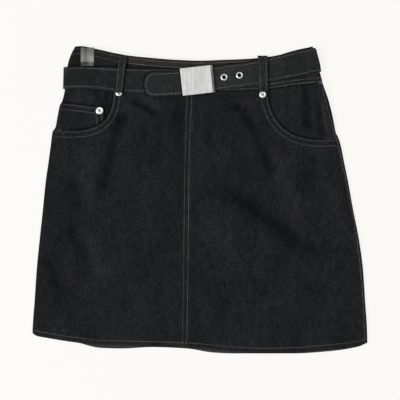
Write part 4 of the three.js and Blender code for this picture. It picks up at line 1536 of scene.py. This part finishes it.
def front_loop(name, loop):
    """A front belt loop: a strip over the belt, tacked down above and below it."""
    top, bottom = belt_span((loop.x1 + loop.x2) / 2)
    over = BELT_TOP + GAP
    short = loop.y2 + 4 > bottom
    foot = mix(LOOP_SEAT, over, 0.55) if short else LOOP_SEAT
    heights = [
        (loop.y2, foot),
        *([] if short else [(bottom - 5, foot)]),
        (bottom, over - 0.2),
        (bottom + 5, over),
        (top - 3, over),
        (top + 1.2, over - 0.2),
        *([(loop.y1 - 5, BAND_TOP + 2 * GAP)] if loop.y1 - 5 > top + 4 else []),
        (loop.y1, BAND_TOP + GAP),
    ]
    z = curve(heights, 1)
    layer = narrow_layer(lambda x, y: z(y) + LOOP, level(0))
    share = lambda v: (loop.y1 - v) / (loop.y1 - loop.y2)
    edge = lambda sign: lambda v: (
        mix(loop.x1, loop.x2, share(v)) + sign * mix(loop.wide, loop.narrow, share(v)) / 2
    )
    lay_loop(name, layer, 1, edge(1), edge(-1), loop.y1, loop.y2)


def back_loop(name, x):
    top, bottom = belt_span(x)
    head = min(top + 6, float(waist_top(x)) - 1)
    under, seat = BELT_FLOOR - GAP, BAND_FLOOR - GAP
    heights = [
        (bottom - 7, seat - 0.4),
        (bottom - 4, seat - 0.4),
        (bottom - 1, under),
        (top + 0.8, under),
        (head - 1.2, seat),
        (head, seat),
    ]
    z = curve(heights, 1)
    layer = narrow_layer(level(0), lambda px, py: z(py) - LOOP)
    edge = lambda sign: lambda v: unroll(layer, 1, x - sign * BACK_LOOP_WIDTH / 2, v)
    lay_loop(name, layer, 1, edge(1), edge(-1), head, bottom - 7)


def lay_loop(name, layer, side, right_edge, left_edge, head, foot):
    ends = [float(edge(v)) for v in (head, foot) for edge in (right_edge, left_edge)]
    outline = joined(
        run_up(foot, head, right_edge),
        np.stack([steps(ends[0], ends[1]), steps(ends[0], ends[1]) * 0 + head], 1),
        run_up(head, foot, left_edge),
        np.stack([steps(ends[3], ends[2]), steps(ends[3], ends[2]) * 0 + foot], 1),
    )
    rows = sewn(
        run_up(foot + 1.5, head - 1.5, lambda v: right_edge(v) - 1.4 * LOOP_ROW),
        run_up(foot + 1.5, head - 1.5, lambda v: left_edge(v) + LOOP_ROW),
        bright=0.8,
    )
    cloth(name, layer, side, outline, LOOP_CLOTH, rows, thickness=LOOP, spacing=1.8)


def turned(name, profile, centre, material, dished=0.0, sides=64):
    """A turned piece, from its closed profile of radius and height, with painted shade on its dished top
    within a radius.
    """
    angles = np.linspace(0, 2 * math.pi, sides, endpoint=False)
    points = [(centre[0] + r * math.cos(a), centre[1] + r * math.sin(a), centre[2] + z) for r, z in profile
              for a in angles]
    faces = []
    for i in range(len(profile)):
        j = (i + 1) % len(profile)
        for k in range(sides):
            n = (k + 1) % sides
            faces.append((i * sides + k, j * sides + k, j * sides + n, i * sides + n))
    made = new_object(f"{name}_metal", points, faces, material)
    inner = [1.0 if z > 0 and r < dished else 0.0 for r, z in profile for _ in angles]
    write_attribute(made, "dished", "FLOAT", inner)
    whole = bmesh.new()
    whole.from_mesh(made.data)
    bmesh.ops.remove_doubles(whole, verts=whole.verts, dist=0.01 * MM)
    bmesh.ops.recalc_face_normals(whole, faces=whole.faces)
    whole.to_mesh(made.data)
    whole.free()
    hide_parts(name)
    return made


def rivets():
    """Domed rivets with a rolled rim and a raised nub in a dished middle."""
    rim = [(-0.4, 0), (-0.1, 0.12), (0, 0.32), (-0.15, 0.55), (-0.6, 0.78), (-1.2, 0.86), (-1.7, 0.82)]
    dish = [(2.7, 0.66), (2.2, 0.46), (1.8, 0.42)]
    nub = [(1.55, 0.5), (1.35, 0.7), (1.05, 0.82), (0.6, 0.87), (0, 0.88)]
    for name, rivet in RIVETS.items():
        x, y = np.array(rivet.x), np.array(rivet.y)
        base = yoke_face(x, y) + CLOTH + GAP if name == "rivet_coin" else front_face(x, y)
        profile = [(0, 0), *[(rivet.radius + r, z) for r, z in rim], *dish, *nub]
        turned(name, profile, (rivet.x, rivet.y, float(base) + RIVET_SEAT), RIVET_METAL, dished=2.4)


def eyelets():
    """Rolled eyelets with a barrel through the strap."""
    e = EYELET
    profile = [
        (e.hole, -STRAP + 0.1), (e.barrel, -STRAP + 0.1), (e.barrel, GAP), (e.flange - 0.15, GAP),
        (e.flange, GAP + 0.1), (e.flange, GAP + 0.24), (e.flange - 0.3, GAP + 0.5),
        (e.flange - 0.9, GAP + 0.7), (3.5, GAP + 0.7),
        (3.1, GAP + 0.58), (2.8, GAP + 0.36), (e.hole, GAP + 0.1),
    ]
    for i, x in enumerate(EYELETS):
        centre = (x, float(belt_over(x)), BELT_TOP)
        turned(f"eyelet_{i + 1}", profile, centre, RIVET_METAL, dished=3.3)


def buckle_plate():
    """The buckle's plate: bare brushed metal, with its right edge turned down towards the strap."""
    p = PLATE
    half = p.width / 2
    profile = [
        (-half, 0), (half - 1, 0), (half + p.lip - 2.2, -p.drop + 0.6), (half + p.lip - 1.4, -p.drop),
        (half + p.lip, -p.drop), (half + p.lip, -p.drop + 1.4), (half - 0.2, p.thick), (-half, p.thick),
    ]
    count = len(profile)
    turn = math.radians(p.turn)
    points = []
    for along in (-p.height / 2, p.height / 2):
        for x, z in profile:
            points.append((
                p.x + x * math.cos(turn) - along * math.sin(turn),
                p.y + x * math.sin(turn) + along * math.cos(turn),
                PLATE_FLOOR + z,
            ))
    faces = [tuple(reversed(range(count))), tuple(range(count, 2 * count))]
    faces += [(i, (i + 1) % count, count + (i + 1) % count, count + i) for i in range(count)]
    made = new_object("buckle_plate_metal", points, faces, STEEL)
    shape = bmesh.new()
    shape.from_mesh(made.data)
    bmesh.ops.recalc_face_normals(shape, faces=shape.faces)
    bmesh.ops.bevel(shape, geom=shape.edges[:], offset=0.45 * MM, segments=3, profile=0.6, affect="EDGES",
                    clamp_overlap=True)
    shape.to_mesh(made.data)
    shape.free()
    made.data.set_sharp_from_angle(angle=math.radians(35))
    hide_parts("buckle_plate")
    return made


def tab_tone(x, y):
    """Painted light and shade on the tab: painted shade in a groove along its left part, a painted highlight
    on its right part, and painted shade at its top, sides and foot.
    """
    t = TAB
    rise = mix(-0.3, 0.3, smooth((t.top - 2 - y) / 14))
    groove = -0.6 * np.exp(-(((x - t.left - 7.4) / 2) ** 2))
    light = 0.6 * np.exp(-(((x - t.left - 15.5) / 3.6) ** 2)) * smooth((t.top - 8 - y) / 8)
    foot = -1.2 * smooth((t.bottom + 6.4 - y) / 1.6)
    rim = -0.3 * smooth((np.abs(x - (t.left + t.right) / 2) - 8.6) / 1)
    return rise + groove + light + foot + rim


def tab():
    """The bare satin tab over the waistband's top edge, folded along one side."""
    t = TAB
    corner = lambda x, y, start: np.array([
        (x + t.corner * math.cos(a), y + t.corner * math.sin(a))
        for a in np.linspace(start, start + math.pi / 2, 6)
    ])
    outline = joined(
        np.array([(t.left, y) for y in steps(t.top, t.bottom + t.corner, 1.5)]),
        corner(t.left + t.corner, t.bottom + t.corner, math.pi),
        corner(t.right - t.corner, t.bottom + t.corner, 1.5 * math.pi),
        np.array([(t.right, y) for y in steps(t.bottom + t.corner, t.top, 1.5)]),
        np.array([(x, t.top) for x in steps(t.right, t.left, 1.5)]),
    )

    def face(x, y):
        groove = -0.45 * np.exp(-(((x - t.left - 6.4) / 1.4) ** 2))
        crown = 0.25 * np.sin(math.pi * np.clip((x - t.left) / (t.right - t.left), 0, 1))
        return BAND_TOP + GAP + t.thick + groove + crown

    layer = narrow_layer(face, level(0))
    layer.front_tone = tab_tone
    cloth("tab", layer, 1, outline, SATIN, thickness=t.thick, spacing=1.2)


def floor():
    """A plain pale floor, a hair below the cloth that rests on it."""
    size = 3.0
    mesh = bpy.data.meshes.new("floor")
    corners = [(-size, -size, 0), (size, -size, 0), (size, size, 0), (-size, size, 0)]
    mesh.from_pydata([(x, y, -0.2 * MM) for x, y, _ in corners], [], [(0, 1, 2, 3)])
    s = Shader("floor")
    s.set(Base_Color=(0.12, 0.118, 0.114, 1), Roughness=0.9, Specular_IOR_Level=0.0,
          Emission_Color=(1, 0.985, 0.955, 1), Emission_Strength=0.845)
    mesh.materials.append(s.material)
    made = bpy.data.objects.new("floor", mesh)
    bpy.context.scene.collection.objects.link(made)
    made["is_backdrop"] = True


def area_light(name, place_at, size, power, colour=(1, 1, 1)):
    data = bpy.data.lights.new(name, "AREA")
    data.shape = "SQUARE"
    data.size = size
    data.energy = power
    data.color = colour
    lamp = bpy.data.objects.new(name, data)
    lamp.location = place_at
    lamp.rotation_mode = "QUATERNION"
    lamp.rotation_quaternion = Vector(place_at).to_track_quat("Z", "Y")
    bpy.context.scene.collection.objects.link(lamp)


def light():
    """A bright sheet of light overhead and a dim room round it, with a soft key light low from the left."""
    world = bpy.data.worlds.new("studio")
    world.use_nodes = True
    tree = world.node_tree
    background = tree.nodes["Background"]
    at = tree.nodes.new("ShaderNodeTexCoord")
    split = tree.nodes.new("ShaderNodeSeparateXYZ")
    ramp = tree.nodes.new("ShaderNodeValToRGB")
    tree.links.new(at.outputs["Generated"], split.inputs[0])
    tree.links.new(split.outputs["Z"], ramp.inputs[0])
    tree.links.new(ramp.outputs[0], background.inputs["Color"])
    ramp.color_ramp.elements[0].position = 0.55
    ramp.color_ramp.elements[0].color = (0.16, 0.16, 0.16, 1)
    ramp.color_ramp.elements[1].position = 0.93
    ramp.color_ramp.elements[1].color = (1, 0.998, 0.99, 1)
    background.inputs["Strength"].default_value = 1.0
    bpy.context.scene.world = world
    area_light("key", (-2.8, -0.9, 2.7), 1.5, 105, (1, 0.99, 0.97))
    area_light("fill", (1.3, 0.9, 1.8), 1.6, 8, (0.97, 0.98, 1))


def camera():
    """Straight above the skirt, with the waist at the top of the picture."""
    data = bpy.data.cameras.new("camera")
    data.lens = LENS
    data.sensor_width = SENSOR
    data.clip_end = 20
    made = bpy.data.objects.new("camera", data)
    made.location = (0, 0, (BAND_TOP + VIEW_WIDTH * LENS / SENSOR) * MM)
    bpy.context.scene.collection.objects.link(made)
    bpy.context.scene.camera = made


def cloth_pieces():
    front_left()
    front_right()
    back_panel("back_left", -1, BACK_SEAM_X - GAP / 2, lambda v: seam_left(v) + GAP, False)
    back_panel("back_right", 1, BACK_SEAM_X + GAP / 2, seam_right, True)
    yoke_left()
    yoke_right()
    coin_pocket()
    waistband_front()
    waistband_back()
    belt_left()
    belt_right()
    belt_back()
    for name, loop in FRONT_LOOPS.items():
        front_loop(name, loop)
    for name, x in BACK_LOOPS.items():
        back_loop(name, x)
    tab()


camera()
cloth_pieces()
rivets()
eyelets()
buckle_plate()
floor()
light()
bpy.context.scene.view_settings.view_transform = "Standard"

boxes = {"cad": [list(corner) for corner in cad_box], "visual": [list(corner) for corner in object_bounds()]}
